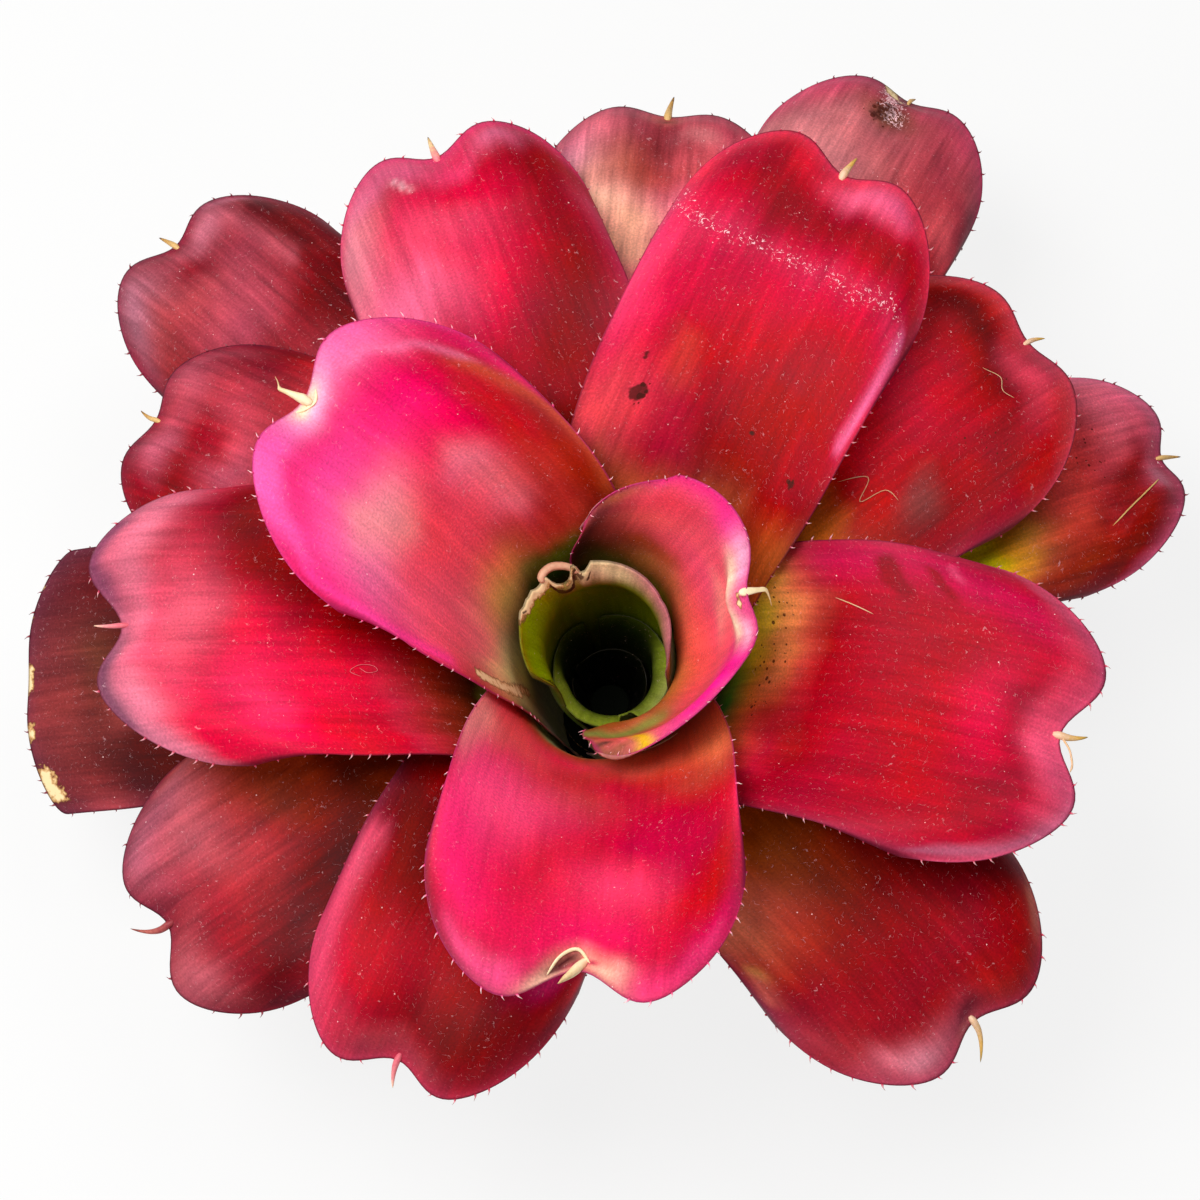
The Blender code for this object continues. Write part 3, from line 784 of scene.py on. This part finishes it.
def grow(name, piece_name, skins, ground, washes="", dry="", speck="", scurf="", dents="",
         strands="", tears="", bloom=0.32, spine=(), columns=BLADE_COLUMNS, rows=BLADE_ROWS):
    """One leaf: a grid bent into sheath and blade, thickened, painted and armed. Its ground is
    stops along the leaf in hundredths, each with its ink, and its marks are strokes."""
    leaf = LEAVES[PLACE_OF[name]]
    dents = strokes(dents)
    bpy.ops.object.select_all(action="DESELECT")
    bpy.ops.mesh.primitive_grid_add(x_subdivisions=columns, y_subdivisions=rows, size=2.0)
    piece = bpy.context.object
    piece.name = piece.data.name = piece_name
    mesh = piece.data
    flat = np.zeros(len(mesh.vertices) * 3)
    mesh.vertices.foreach_get("co", flat)
    flat = flat.reshape(rows + 1, columns + 1, 3)
    across, along = flat[..., 0], (flat[..., 1] + 1.0) / 2.0
    points, sideways, distance, rim = leaf_surface(leaf, across, along, dents, strokes(tears))
    mesh.vertices.foreach_set("co", points.astype(np.float32).ravel())

    put(mesh, "ground", "FLOAT_COLOR", painted(leaf, across, along, ground, strokes(washes)))
    # The bloom mark: wax bloom and painted sheen, strongest at the rim towards the tip.
    frosted_sheen = bloom * np.exp(-rim / BLOOM_FADE) * ease((along - BLOOM_FROM) / BLOOM_OVER)
    put(mesh, "bloom", "FLOAT", frosted_sheen)
    put(mesh, "rim_mm", "FLOAT", rim * 1000.0)
    for mark, lines in (("dry", dry), ("speck", speck), ("scurf", scurf)):
        amount = np.zeros_like(across)
        for line, reach, strength in strokes(lines):
            amount = np.maximum(amount, strength * near_line(leaf, across, along, line, reach))
        put(mesh, mark, "FLOAT", amount)
    shift = UV_STEP_MM * PLACE_OF[name]
    on_leaf = np.stack([sideways * 1000.0 + shift, distance * 1000.0 + shift], axis=-1).reshape(-1, 2)
    corners = np.zeros(len(mesh.loops), dtype=np.int32)
    mesh.loops.foreach_get("vertex_index", corners)
    while mesh.uv_layers:
        mesh.uv_layers.remove(mesh.uv_layers[0])
    mesh.uv_layers.new(name="leaf_mm").data.foreach_set("uv", on_leaf[corners].astype(np.float32).ravel())

    thin = piece.vertex_groups.new(name="thickness")
    for number, share in enumerate((RIM_SHARE + (1.0 - RIM_SHARE) * ease(rim / RIM_THINNED)).ravel()):
        thin.add([number], float(share), "REPLACE")
    for skin in skins:
        mesh.materials.append(skin)
    shell = piece.modifiers.new("Leaf thickness", "SOLIDIFY")
    shell.thickness = LEAF_THICKNESS
    shell.offset = -1.0
    shell.vertex_group = "thickness"
    shell.material_offset = 1
    shell.material_offset_rim = 0
    bpy.context.view_layer.objects.active = piece
    bpy.ops.object.modifier_apply(modifier="Leaf thickness")

    arms = []
    if leaf.width:
        arms.append((grow_teeth(points, random.Random(name)), TEETH))
    if spine:
        arms.append((grow_spine(points, spine), SPINE))
    arms += [(grow_strand(leaf, stops, wide, thick, dents), SPINE)
             for stops, wide, thick in strokes(strands)]
    for (corners, faces, reach), finish in arms:
        arm = bpy.data.meshes.new("arm")
        arm.from_pydata(corners, [], faces)
        put(arm, "reach", "FLOAT", reach)
        for skin in skins:
            arm.materials.append(skin)
        arm.polygons.foreach_set("material_index", [finish] * len(arm.polygons))
        held = bpy.data.objects.new("arm", arm)
        bpy.context.scene.collection.objects.link(held)
        held.select_set(True)
    if arms:
        bpy.ops.object.join()
    mesh.shade_smooth()
    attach(piece, "root")
    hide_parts(name)


# ---------------------------------------------------------------- old leaves
# The lowest and oldest leaves: dull maroon, faded where light reaches them, with dry patches. They
# were the first to grow, so they clasp all the others.

# Weathered cuticle: matt, greyish and the most mottled. Its back is dull with a bloom of scales.
OLD_SKIN = leaf_skin("old leaf skin", 0.50, 0.30, 0.10, "#6a3450", "#3e1220")
DULL_BACK = leaf_back("scaly leaf underside", "#6d5248")
DARK_TEETH = horn("dark toothed rim", "#7a2230", "#96505a", "#40161a")
OCHRE_SPINE_AND_HIGHLIGHT = horn("ochre spine", "#d8b070", "#b98a45", "#3a1c10")
RED_SPINE = horn("red-brown spine", "#8a2c34", "#b05a50", "#5c2018")
OLD = (OLD_SKIN, DULL_BACK, DARK_TEETH, OCHRE_SPINE_AND_HIGHLIGHT)
OLD_RED = (OLD_SKIN, DULL_BACK, DARK_TEETH, RED_SPINE)
SHEATH_FOOT = "0 #d8d2b0, "          # the hidden sheaths pale and then turn olive upwards
SHEATH_PALE = SHEATH_FOOT + "25 #b9bd7c, "
SHEATH = SHEATH_PALE + "40 #7d7a2c, "

grow("leaf_17", "cut_leaf_17", OLD,
     SHEATH + "60 #721d11, 85 #4f0202, 100 #5e262d",
     """
     -50,85 12 #340202 .8; 0,90 9 #2f3902 .6; -15,95 18 #913b3b .85; -90,90 12 #b64c4f .85
     -15,85 7 #ac4b48 .85""",
     dry="-52,99 -66,98.5 6 .72; -2,100 5,100 3 .8; -25,100 4 .75; 50,100 2 .7; 30,100 1.5 .7")
grow("leaf_16", "strap_leaf_16", OLD,
     SHEATH + "60 #953c45, 80 #d00202, 90 #b45d65, 100 #d84a6d",
     """
     -60,85 -20,82 18 #e9969a .8; 40,90 70,80 16 #a93a49 .8; -5,94 8 #493d02 .8; -2,99 6 #5c4638 .8
     60,80 12 #f66b73 .85""",
     speck="-6,95 -10,92 4.5 .6; -2,96.5 2 .8; -11,93 1.6 .8",
     scurf="-10,98.5 -2,93 6 .62",
     dry="-13,100 -9,98.5 2.4 .8; -8,98.5 -3,97.5 1.5 .72",
     dents="0,97 3 1.2; 4,93 3 -1; -5,95 2.5 .9",
     spine=hook(4.0, 1.0, 0.6, 0.8))
# Painted shade: the dark arc round the notch (-25,88 to 20,88) is the shade in the hollow behind it.
grow("leaf_15", "strap_leaf_15", OLD,
     SHEATH + "60 #b64b59, 75 #780202, 88 #6e0202, 100 #850a27",
     """
     -25,88 -10,93 8,93.5 20,88 6 #8e1c30 .7; -10,80 0,86 14 #e76e85 .5; 35,95 60,80 7 #762528 .7
     30,75 35,70 8 #5d0202 .7; 50,92 6 #5c2a2c .7; -30,90 18 #ad474a .85; 15,95 7 #da7e90 .85
     -45,95 12 #ab6d7e .85; -4,92 6 #7a1420 .8; 41,92 49,82 3.5 #560c10 .75; 29,93 36,82 3 #c4606e .5
     43,97.5 30,98.5 4 #d07488 .6""",
     spine=hook(8.2, -0.9, 1.6, 1.1))
# Painted light: the yellow wash low on the blade (10,62 to 26,64.5) is the base's own yellow laid on
# brighter against the shade of leaf_09 above it. The pale strand along the crease near the tip is a
# painted highlight.
grow("leaf_14", "strap_leaf_14", OLD,
     SHEATH_PALE + "50 #b09212, 66 #a45102, 72 #790b0b, 82 #7a2203, 92 #be0202, 100 #fc7298",
     """
     -60,93 -30,90 16 #e7829b .6; 2,93 12,90 25,87 5 #7a0f17 .9; 40,93 60,90 14 #671a0d .8
     10,98.5 8 #862d38 .7; 0,68 20,68 16 #e60268 .8; -15,80 18 #f65155 .85; 15,65 18 #fccc02 .85
     15,70 7 #fcb04e .85; 10,62 26,64.5 8 #fcfc28 .95; 31,69 40,70 5 #f8a43c .6; 12,96.5 3.5 #c07c90 .6""",
     speck="-20,86 -12,83 0,86 8 .3",
     scurf="-10,97 5,99 3 .45",
     strands="15,95.5,0 20,93,.35 27,89.5,.3 35,86,0 .3 .25",
     dents="22,95 34,89 3 1.6; 0,99 12,93 30,86 5 -2.4; -12,99 -15,93 4 1.2",
     spine=hook(8.1, 0.6, 1.2, 0.9))
grow("leaf_13", "strap_leaf_13", OLD_RED,
     SHEATH_PALE + "50 #c0380a, 60 #6a1a02, 68 #7f0202, 78 #a43137, 90 #9b1c27, 100 #7f0202",
     """
     -75,95 -40,80 -20,65 10 #3f0202 .8; 75,92 60,80 35,65 9 #be492e .8; 40,95 55,90 14 #ba778d .5
     -30,97 10 #eb8390 .5; 20,70 10 #6c2e1d .6; 30,85 12 #c55e68 .85""",
     spine=hook(12.4, 7.0, 1.5, 1.3))
grow("leaf_12", "strap_leaf_12", OLD,
     SHEATH_PALE + "60 #f60263, 78 #fc7899, 86 #a83c34, 94 #db6775, 100 #cd6574",
     """
     -5,90 0,95 9 #600202 .8; -30,89 -12,84 7 #b03c28 .7; -60,95 -70,90 8 #d0718c .8
     25,94 40,98 9 #c94a5c .8; 0,98.5 4 #b85c50 .8; 0,98 1.6 #4a2018 .8; 18,93 5 #e48e8e .6
     -45,85 12 #d18e7f .85; -30,80 7 #fcc3a9 .85; -60,90 12 #ea9fb1 .85
     -13,77 -10,72 -20,74 9 #ffbc98 .85; 14,87 7 #d8606c .7""",
     spine=hook(10.0, 1.3, 3.0, 1.4))
grow("leaf_10", "strap_leaf_10", OLD,
     SHEATH + "60 #932738, 80 #ba363e, 90 #870202, 100 #860214",
     """
     -30,90 0,90 8 #710202 .6; 15,90 30,93 30,98 9 #820202 .6; 50,90 40,82 8 #5c0202 .8
     -10,82 10 #7e5068 .6; -15,95 7 #d2697f .85; 15,85 12 #d24e5e .85; 30,95 12 #bc596a .85
     1,89 0,86 5 #8c0c18 .8; 40,94 50,86 4 #7c1824 .6""",
     spine=hook(7.8, 1.8, 1.4, 0.9))


# ---------------------------------------------------------------- ripe leaves
# Full-grown crimson leaves, firm and waxy. Each clasps the stem between the old leaves outside it
# and the younger ones within, and its rim is armed with pink teeth.

# Sound waxy cuticle: a satin sheen, deep colour and a mauve haze round the tip, part wax bloom and
# # part painted sheen.
RIPE_SKIN = leaf_skin("ripe leaf skin", 0.44, 0.20, 0.09, "#b0507c", "#5c1228")
RIPE_BACK = leaf_back("crimson leaf underside", "#7d4446")
PINK_TEETH = horn("pink toothed rim", "#c03050", "#f0a8b0", "#c8a090")
YELLOW_SPINE = horn("yellow spine", "#e8c0a0", "#d8a850", "#8a7030")
PINK_SPINE = horn("pink spine", "#d86070", "#e88a8c", "#f0dcb0")
DARK_TIP_SPINE = horn("dark-tipped spine", "#ea8088", "#ecc890", "#4a2418")
RIPE = (RIPE_SKIN, RIPE_BACK, PINK_TEETH, YELLOW_SPINE)
RIPE_PINK = (RIPE_SKIN, RIPE_BACK, PINK_TEETH, PINK_SPINE)
RIPE_DARK_TIP = (RIPE_SKIN, RIPE_BACK, PINK_TEETH, DARK_TIP_SPINE)

grow("leaf_11", "strap_leaf_11", RIPE,
     SHEATH_PALE + "45 #4d110c, 52 #a4400e, 60 #a32202, 70 #7a0202, 85 #99212b, 100 #941e15",
     """
     15,65 15,55 12 #020202 .7; 45,68 70,74 12 #c1020c .7; 72,76 3 #e0b050 .8; -60,97 -50,88 8 #ac0202 .8
     15,97 45,97 9 #fc708b .5; 0,96.5 5 #4a0810 .8; -80,97 -50,80 -25,65 6 #7a0c14 .8; 70,90 10 #b4434c .5
     75,65 18 #fc9071 .85; 30,95 7 #e18c9d .85; 30,50 18 #d65e02 .85; 80,82 74,77 4 #e0705c .7
     -72,98.5 -58,98.5 4 #d07860 .7; 5,99 3 #905646 .7""",
     spine=hook(11.8, 6.2, 1.0, 1.2))
grow("leaf_09", "strap_leaf_09", RIPE,
     SHEATH_PALE + "45 #8a5010, 52 #fc8c42, 60 #942c24, 70 #8b0610, 85 #a50b17, 93 #be1e18, 100 #e1494e",
     """
     -30,92 0,93 15,90 8 #2b0202 .8; 10,97 30,93 8 #9b374d .5; 33,71 10 #53433e .75
     25,87 40,86 6 #8a0414 .7; 50,85 68,72 7 #920e12 .6; -30,75 18 #fc0240 .85; 15,95 7 #d74b5f .85
     -15,65 18 #fc0229 .85""",
     speck="22,79 42,85 7 .24; 3,89 10,90 5 .24",
     strands="""
     0,89,.1 8,90,.3 14,88.5,.3 20,89,.1 .1 .1; 5,60,.1 12,64,.4 20,61,.4 22,65,.4 30,66,.1 .12 .1""",
     spine=hook(5.9, 1.7, 1.0, 0.9))
# Painted shadow: the dark wash along the left (-70,90 to -40,92) is the shadow that leaf_03 casts here.
grow("leaf_08", "strap_leaf_08", RIPE_PINK,
     SHEATH + "45 #bb0208, 60 #630202, 75 #7a0202, 90 #5e0202, 100 #c52c31",
     """
     -70,90 -40,92 14 #760202 .8; 20,80 45,85 16 #cc0220 .7; 65,95 72,80 72,70 6 #ef5e7b .7
     -10,96 15,96 8 #943e47 .6; -60,80 7 #fc4b94 .85; 75,95 18 #e74f6e .85; -90,85 12 #f50c02 .85""",
     spine=hook(8.4, -2.2, 1.6, 1.1))
# Painted light and shade: the pale wash on the left margin (-70,93 to -60,82) is a painted highlight, the
# dark wash on the right (45,92 to 30,60) the painted shadow of leaf_04, and the crimson arc round the
# notch (-30,86 to 25,85) painted shade in the hollow behind it.
grow("leaf_07", "strap_leaf_07", RIPE_DARK_TIP,
     SHEATH + "50 #741d15, 60 #b50627, 72 #a20220, 85 #ce4659, 93 #b40202, 100 #e13d66",
     """
     -70,93 -60,82 13 #e08d9a .8; -35,80 -10,80 0,72 14 #e30230 .7
     -30,86 -15,90.5 10,90 25,85 6 #d01038 .8; 45,92 55,75 30,60 12 #780203 .85
     -45,96 -20,96 9 #d8789d .5; -45,75 18 #fc759b .85; 30,95 7 #d56a89 .85; -15,85 12 #e6506f .85
     4,94 5 #fa5480 .6; -24,94 -20,92.5 1.3 #ffd8dc .5""",
     spine=hook(9.7, 0.1, 2.0, 1.4))
# Painted light: the yellow and peach washes low on the left (-75,48 to -40,44 and -50,50 to -5,47) are the
# base's own colours laid on brighter against the shade of leaf_01.
grow("leaf_06", "strap_leaf_06", RIPE,
     SHEATH_FOOT + "30 #020205, 38 #218534, 43 #d47442, 48 #f85251, 52 #cb3047, 57 #9e252f, 64 #b00725, "
                   "80 #af0217, 90 #ae1426, 100 #e85874",
     """
     -60,75 -30,60 14 #9f0219 .6; 10,90 10,70 0,60 12 #ae021c .6; -5,92 15,90 35,85 7 #520202 .6
     15,96.5 10 #fa698e .8; 50,90 70,75 60,60 12 #ad0c29 .6; 15,50 30,55 9 #a42826 .7
     -68,93 -55,89 4 #b8021c .9; -70,72 -50,69 5 #a80820 .9; -62,81.5 -52,79 4 #cc2c50 .4
     -60,45 18 #fc7a68 .85; -45,40 18 #f9fc30 .85; -75,48 -55,45 -40,44 8 #fce650 .8
     -50,50 -25,48.5 -5,47 6 #ff9c68 .6; 0,85 12 #e43452 .85; -75,60 -68,76 -50,90 9 #c8305c .6
     35,100 60,97 80,90 5 #b8708c .6; -60,97 -30,100 4.5 #b84a68 .6; -68,70 -52,68.5 2.9 #8c0018 3
     -70,81 -62,80 1.7 #dc4c70 1; -62,76.5 -50,76 1.8 #98041c 2.5""",
     speck="-65,48 -45,47 -25,46 0,46 10,45 9 .42; 30,62 10,75 12 .06",
     strands="""
     0,100,.4 4.5,102,.6 10,101.5,.4 14,100,.2 .35 .35; -47,58,.1 -42,60.5,.3 -36,63.5,.1 .16 .14""",
     spine=hook(8.4, -2.4, 0.8, 1.3))
# Painted shadow and shade: the dark red washes on the right half (15,68 to 70,82, 10,62 and 30,88 to
# 60,88) are the shadow that leaf_02 casts, and the arc round the notch (-25,86 to 22,87) painted shade in
# the hollow behind it.
grow("leaf_05", "strap_leaf_05", RIPE_PINK,
     SHEATH + "42 #421e02, 50 #902f25, 58 #c43447, 66 #e10213, 80 #9d2939, 90 #d60430, 100 #b25e71",
     """
     -75,75 -50,85 16 #e60a3f .7; -30,65 -15,75 12 #e73350 .9; 15,68 40,76 70,82 10 #760202 .9
     10,62 10 #ae0202 .8; 0,50 5,60 12 #900202 .8; -60,96 -20,92 30,92 60,93 12 #eb91aa .6
     -25,86 -10,91.5 10,91 22,87 6 #e04060 .7; -45,98.5 -15,98.5 5 #8a6070 .6; 30,88 60,88 12 #6c0202 .5
     0,85 12 #e96277 .85; -45,75 12 #fa466e .85; 16,99 32,99.5 50,99 3.5 #6a3450 .8
     -50,99 -18,99 3 #5a3048 .7""",
     strands="-30,60,0 -27,61.5,.2 -23.5,60,.2 -24,58,.2 -27,57.5,.2 -28,59,.2 -25,60,0 .09 .08",
     bloom=0.10, spine=hook(8.6, 0.6, 1.6, 0.9))
# Painted shade and highlight: the dark arc behind the notch (-15,88 to 40,88) is the shade in the hollow
# there, and the pink spot beside the notch (30,95.5) a painted highlight.
grow("leaf_04", "strap_leaf_04", RIPE,
     SHEATH + "42 #da6d47, 50 #663729, 60 #970202, 72 #c10227, 82 #cf3653, 90 #b61012, 100 #fc4255",
     """
     -90,90 -85,70 16 #fc4a70 .9; -45,60 -30,50 16 #af0938 .8; -75,62 -70,68 9 #fc446c .5
     -15,88 15,90 40,88 10 #920216 .9; 30,95.5 7 #e96691 .8; -50,95 -30,93 10 #681925 .6
     40,70 35,55 16 #a70202 .6; 60,60 70,47 13 #ab0e1f .8; 78,85 80,65 3.5 #f06f9a .8
     -30,66 -28,60 6 #c05040 .4; -75,55 18 #fc5a65 .85; 15,95 7 #fa6e92 .85; 90,45 12 #e57b42 .85""",
     speck="-48,56.5 3.6 1; -50,61.7 1.8 .9; 22,56.5 1.6 .8; 62,55.5 2.2 .9; 68,57 70,50 9 .1",
     scurf="-98,98 -62,84 -30,80 0,81.5 30,80.5 60,86 78,84 8 .47",
     spine=hook(7.4, 1.1, 2.2, 1.4))


# ---------------------------------------------------------------- young leaves
# The newest open leaves, hot pink under a lilac bloom that carries a little painted sheen, their bases
# # still olive. They are the softest and glossiest, and stand round the cup.

# Tender cuticle: the brightest colours and the softest streaks.
YOUNG_SKIN = leaf_skin("young leaf skin", 0.40, 0.12, 0.06, "#ff9cc8", "#a82860")
YOUNG_BACK = leaf_back("pink leaf underside", "#b07a70")
PALE_TEETH = horn("pale toothed rim", "#e8407c", "#fbc0cc", "#f4d8cc")
CREAM_SPINE = horn("cream spine", "#fbe8c0", "#ecd09c", "#caa070")
YOUNG = (YOUNG_SKIN, YOUNG_BACK, PALE_TEETH, CREAM_SPINE)

grow("leaf_03", "strap_leaf_03", YOUNG,
     SHEATH_PALE + "36 #d75241, 45 #e22358, 52 #bc0229, 60 #ab3232, 70 #c82530, 85 #ba2a19, 100 #77021d",
     """
     -90,50 -70,45 -40,42 18 #fa9262 .85; 0,50 5,60 10 #c44a3a .5; 50,50 60,45 14 #fc6e6e .7
     -50,75 -30,70 12 #950247 .6; -40,72 -20,60 -10,55 8 #c72542 .7; 60,85 70,70 75,62 16 #f13b74 .85
     -85,97 -70,93 12 #fc296e .6; 0,77 5 #b01840 .6; -15,90 5,94 20,95 5 #b02048 .6
     85,52 95,60 10 #fcb0a5 .6; -65,88 -60,80 9 #b80202 .7; 12,98.5 0,96.5 -12,97 4.5 #fbe4b8 .95
     6,98.5 -7,96.5 1.3 #4a1410 .95; 45,65 18 #fc5986 .85; 0,90 18 #f43967 .85; -15,80 12 #f94e74 .85
     -94,72 -86,90 5 #f4104c .8; 30,97 50,95 6 #ff5e90 .7; -30,98 -60,96 6 #ff4c80 .8
     8,97.8 2,96.2 1.7 #4a1410 1.2""",
     scurf="-35,80 0,80 7 .38",
     dents="7,98.5 -8,96.5 3 -1.6; 16,96 0,93 -16,95 4 .9",
     strands="""
     11,98.5,0 7,96.2,.3 0,95.2,.3 -5,97,0 .6 .35; -5,36,.4 -25,38.5,.8 -45,39,.8 -60,38,.4 .35 .2""",
     bloom=0.08,
     spine=[(-4.0, -2.5, 0.3, 1.2), (-1.0, -0.8, 0.7, 1.8), (2.0, 1.0, 1.0, 1.6), (4.5, 3.0, 1.2, 1.1),
            (6.5, 4.9, 1.0, 0.2)])
# Painted highlights: the pale salmon and pinkish-white patches on the blade (-25,75, -30,77 to -22,71,
# 22,66 to 28,58 and 24,68 to 29,58) are painted highlights, and the hot pink along the left margin (-84,60
# to -78,92) is the margin's own colour laid on as bright as a highlight.
grow("leaf_02", "strap_leaf_02", YOUNG,
     SHEATH_FOOT + "30 #471202, 38 #022f02, 45 #b14132, 55 #8c1c1c, 65 #d6202a, 80 #fc3a76, 95 #e02a5c, "
                   "100 #d83a78",
     """
     -80,90 -75,75 -72,62 10 #e0306c .7; -60,93 -40,97 30,97 7 #ff6cb8 .6; -25,75 10 #fcdbce .45
     22,66 28,58 7 #fcb3e9 .45; -60,65 -50,60 9 #fc6f98 .6; -50,85 -20,87 12 #fc549c .7
     40,92 55,80 50,65 10 #d6193b .8; 60,86 72,70 60,60 10 #8f2f02 .5; 85,75 95,60 12 #5c2802 .6
     40,62 45,52 10 #c6403c .8; -10,53 -5,48 8 #f85a3f .7; 15,42 40,41 50,43 6 #4a5a10 .9
     -65,42 -60,34 14 #fcefa3 .9; 3,97.5 7 #fcc4dc .95; 3,98.5 -3,98.5 2.6 #fff0b8 .9
     -45,50 18 #fc7c8e .85; -45,75 18 #fc7cac .85; 30,95 12 #fc70a1 .85; 0,60 18 #fc5b6e .85
     -60,60 18 #f76274 .85; -15,45 12 #d8af60 .85; -84,60 -86,72 -86,84 -78,92 4 #ff4c98 .8
     -50,97 -35,100 5 #ff64ac .8; -30,77 -22,71 8 #ffa894 .42; 24,68 29,58 6 #ff8c90 .4
     62,84 88,74 98,64 95,55 5 #c05034 .7; 45,80 50,66 45,50 4 #a03024 .5
     20,93 50,90 62,86 2.5 #ff90bc .35""",
     dry="-84,53 -86,45 -82,38 4 .7; -80,40 -72,30 4 .6",
     dents="10,97 4 1.4; -2,98.5 3 -1",
     strands="-6,99.2,0 -2,98,.3 2,97.4,.3 6,98.5,0 .6 .4",
     bloom=0.06,
     spine=[(-3.0, 0.3, 0.3, 1.0), (0.0, 0.2, 0.7, 1.7), (3.0, -0.3, 1.3, 1.2), (6.0, -0.8, 1.6, 0.8),
            (8.2, -1.1, 1.8, 0.65), (9.4, 0.2, 1.9, 0.3), (11.3, 1.4, 2.0, 0.1)])
# Painted shade: the dark brown wash along the left margin (-95,40 to -75,85) is the shade where this leaf
# lies against leaf_02.
grow("leaf_01", "strap_leaf_01", YOUNG,
     SHEATH_FOOT + "25 #4a4a08, 38 #8a8b1f, 48 #a4682c, 60 #a04030, 80 #f06e64, 100 #e0508c",
     """
     -95,40 -85,70 -75,85 15 #290f02 .9; -72,55 -45,50 10 #434615 .9; -72,93 -55,97 7 #845707 .7
     -52,66 9 #441a02 .8; -40,47 -10,42 20,38 50,37 6 #6a7410 .9; -50,100 -30,99 -15,95 6.5 #fc3999 .9
     20,90 28,80 42,85 50,80 9 #f84890 .9; 24,97 33,88 42,80 5 #fc3498 .95; -12,97 4.5 #fcc7e7 .8
     14,95 4 #fbc0da .8; -9,92 0,86 9,90 4.5 #fcf0c8 .95; 0,70 30,65 9 #fc5a80 .5
     55,55 70,62 6 #e07858 .6; -45,60 -20,57 0,52 30,50 7 #a87434 .8
     100,60 85,62 70,64 50,60 6 #8b9748 .95; 100,70 97,85 88,97 78,95 6 #a0603c .97
     70,97 66,84 63,74 2.6 #e8c028 .95; 100,78 84,80 3.5 #2a2410 .9; 0,60 18 #fc655b .85
     -15,75 18 #fc6487 .85; -45,90 12 #fc596b .85; 27,86 34,94 45,94 6 #ff3c98 .9
     78,86 86,92 100,80 5 #8c5a3a .85; 48,70 56,74 4 #d86a58 .7; -6,79 0,74 5 #ffa896 .6
     -50,68 -36,64 5 #9c4a1c .6""",
     dents="""
     0,50 40,48 75,48 18 8; 45,95 16 3; -90,50 -75,80 18 -3; -30,98 13 -.5; 27,97 9 .8; 0,100 0,90 6 5.5
     85,95 100,80 9 -3""",
     dry="2,95 2.2 .8",
     tears="-100,50 12", bloom=0.05,
     spine=[(-2.0, 0.0, 0.8, 0.9), (-0.5, 0.0, 0.3, 1.4), (0.3, -0.2, -2.0, 1.2), (0.5, -0.5, -4.4, 0.9),
            (0.4, -0.8, -6.8, 0.8), (0.0, 0.2, -8.0, 0.5), (-0.4, 2.0, -8.8, 0.25),
            (-0.8, 4.2, -9.4, 0.1)])


# ---------------------------------------------------------------- rolled heart leaves
# Green leaves still rolled round the growing point, their rims dry and torn. Together they make the
# cup that holds rainwater. Down inside the cup their colour darkens to near-black: painted shade.

# Wet green tissue: smooth and the glossiest, with rims that have dried to brown paper.
HEART_SKIN = leaf_skin("green leaf skin", 0.35, 0.20, 0.05, "#8c9438", "#18120a")
HEART_BACK = leaf_back("green leaf underside", "#5c6a2a")
TORN_RIM = horn("dried torn rim", "#d8a888", "#c08c6c", "#8a5a3c")
HEART = (HEART_SKIN, HEART_BACK, PALE_TEETH, TORN_RIM)

# Painted light: the bright green wash on the left of the rim (-22,97 to -42,86) stands for light shining
# through the wall.
# Painted shade: the ground darkens to near-black towards the foot, down inside the cup.
grow("heart_leaf_outer", "rolled_leaf_outer", HEART,
     "0 #0a0e02, 40 #2c3604, 60 #5a6608, 80 #78820c, 92 #787a16, 100 #8c7c2c",
     """
     -22,97 -33,90 -42,86 12 #8cb010 .95; -28,100 -44,97 3.5 #b8b834 .9; -12,94 0,93 8,92 5 #7c5c14 .7
     10,100 25,100 36,100 50,99 7 #d88490 .97; 3,100 9,98.5 14,95 4.5 #ecd8a4 .95
     15,88 35,87 3 #7c8a18 .7; 40,78 50,75 15 #262c04 .7""",
     dry="-10,100 -21,100 4.5 .9; -2,99 2.5 .7",
     speck="-8,95 -4,94 -1,95 1.6 1; -44,94 -44.5,80 1.8 1; 0,98.5 4,96 .8 1; -21.5,98.5 1 1",
     dents="""
     5,100 15,100 33,100 6 -2; 6,90 20,87 36,87 10 3.4; 42,100 52,100 5 -1; -20,80 -36,78 13 4.6
     -15,90 0,90 8 1.6; -10,100 -21,100 3.5 -1.5""",
     strands="-11,98.5,-.3 -9.5,100,-1.4 -6,100,-2.6 -2,98.5,-2.2 1.4,95.5,-.6 1.3 1.5",
     bloom=0.0,
     tears="2.2,2.2 3.5; -4.8,3.8 5.5; -12.5,2 1.4; -17,1.2 .8; -20,1.5 1; -100,57.5 88; 100,46 60"
           "; 30,1.5 .6", columns=200, rows=48)
# Painted shade: near-black below the green rim, deep in the cup.
grow("heart_leaf_middle", "rolled_leaf_middle", HEART,
     "0 #040602, 60 #0c1203, 85 #161e06, 95 #283208, 100 #3c480e",
     "-30,100 0,100 35,100 7 #8c9a34 .95; -10,100 -20,99 3.5 #a8a860 .8; 0,90 4 #6c7020 .5",
     dents="-28,100 34,100 6 -3; -28,84 34,84 7 2.8; -100,100 -45,100 5 -.8; 50,100 100,100 5 -.8",
     bloom=0.0, tears="0,3.5 6.5; -3,2 2.5; 3,1.2 2; 40,20 1.5", columns=200, rows=48)
# Painted shade: near-black all over, for the dark bottom of the cup.
grow("heart_leaf_inner", "rolled_leaf_inner", HEART,
     "0 #020201, 70 #030402, 90 #060a02, 100 #0a0f03",
     bloom=0.0, tears="0,400 11; 35,25 2.5; -50,30 3.5; -10,12 1.5", columns=120, rows=40)
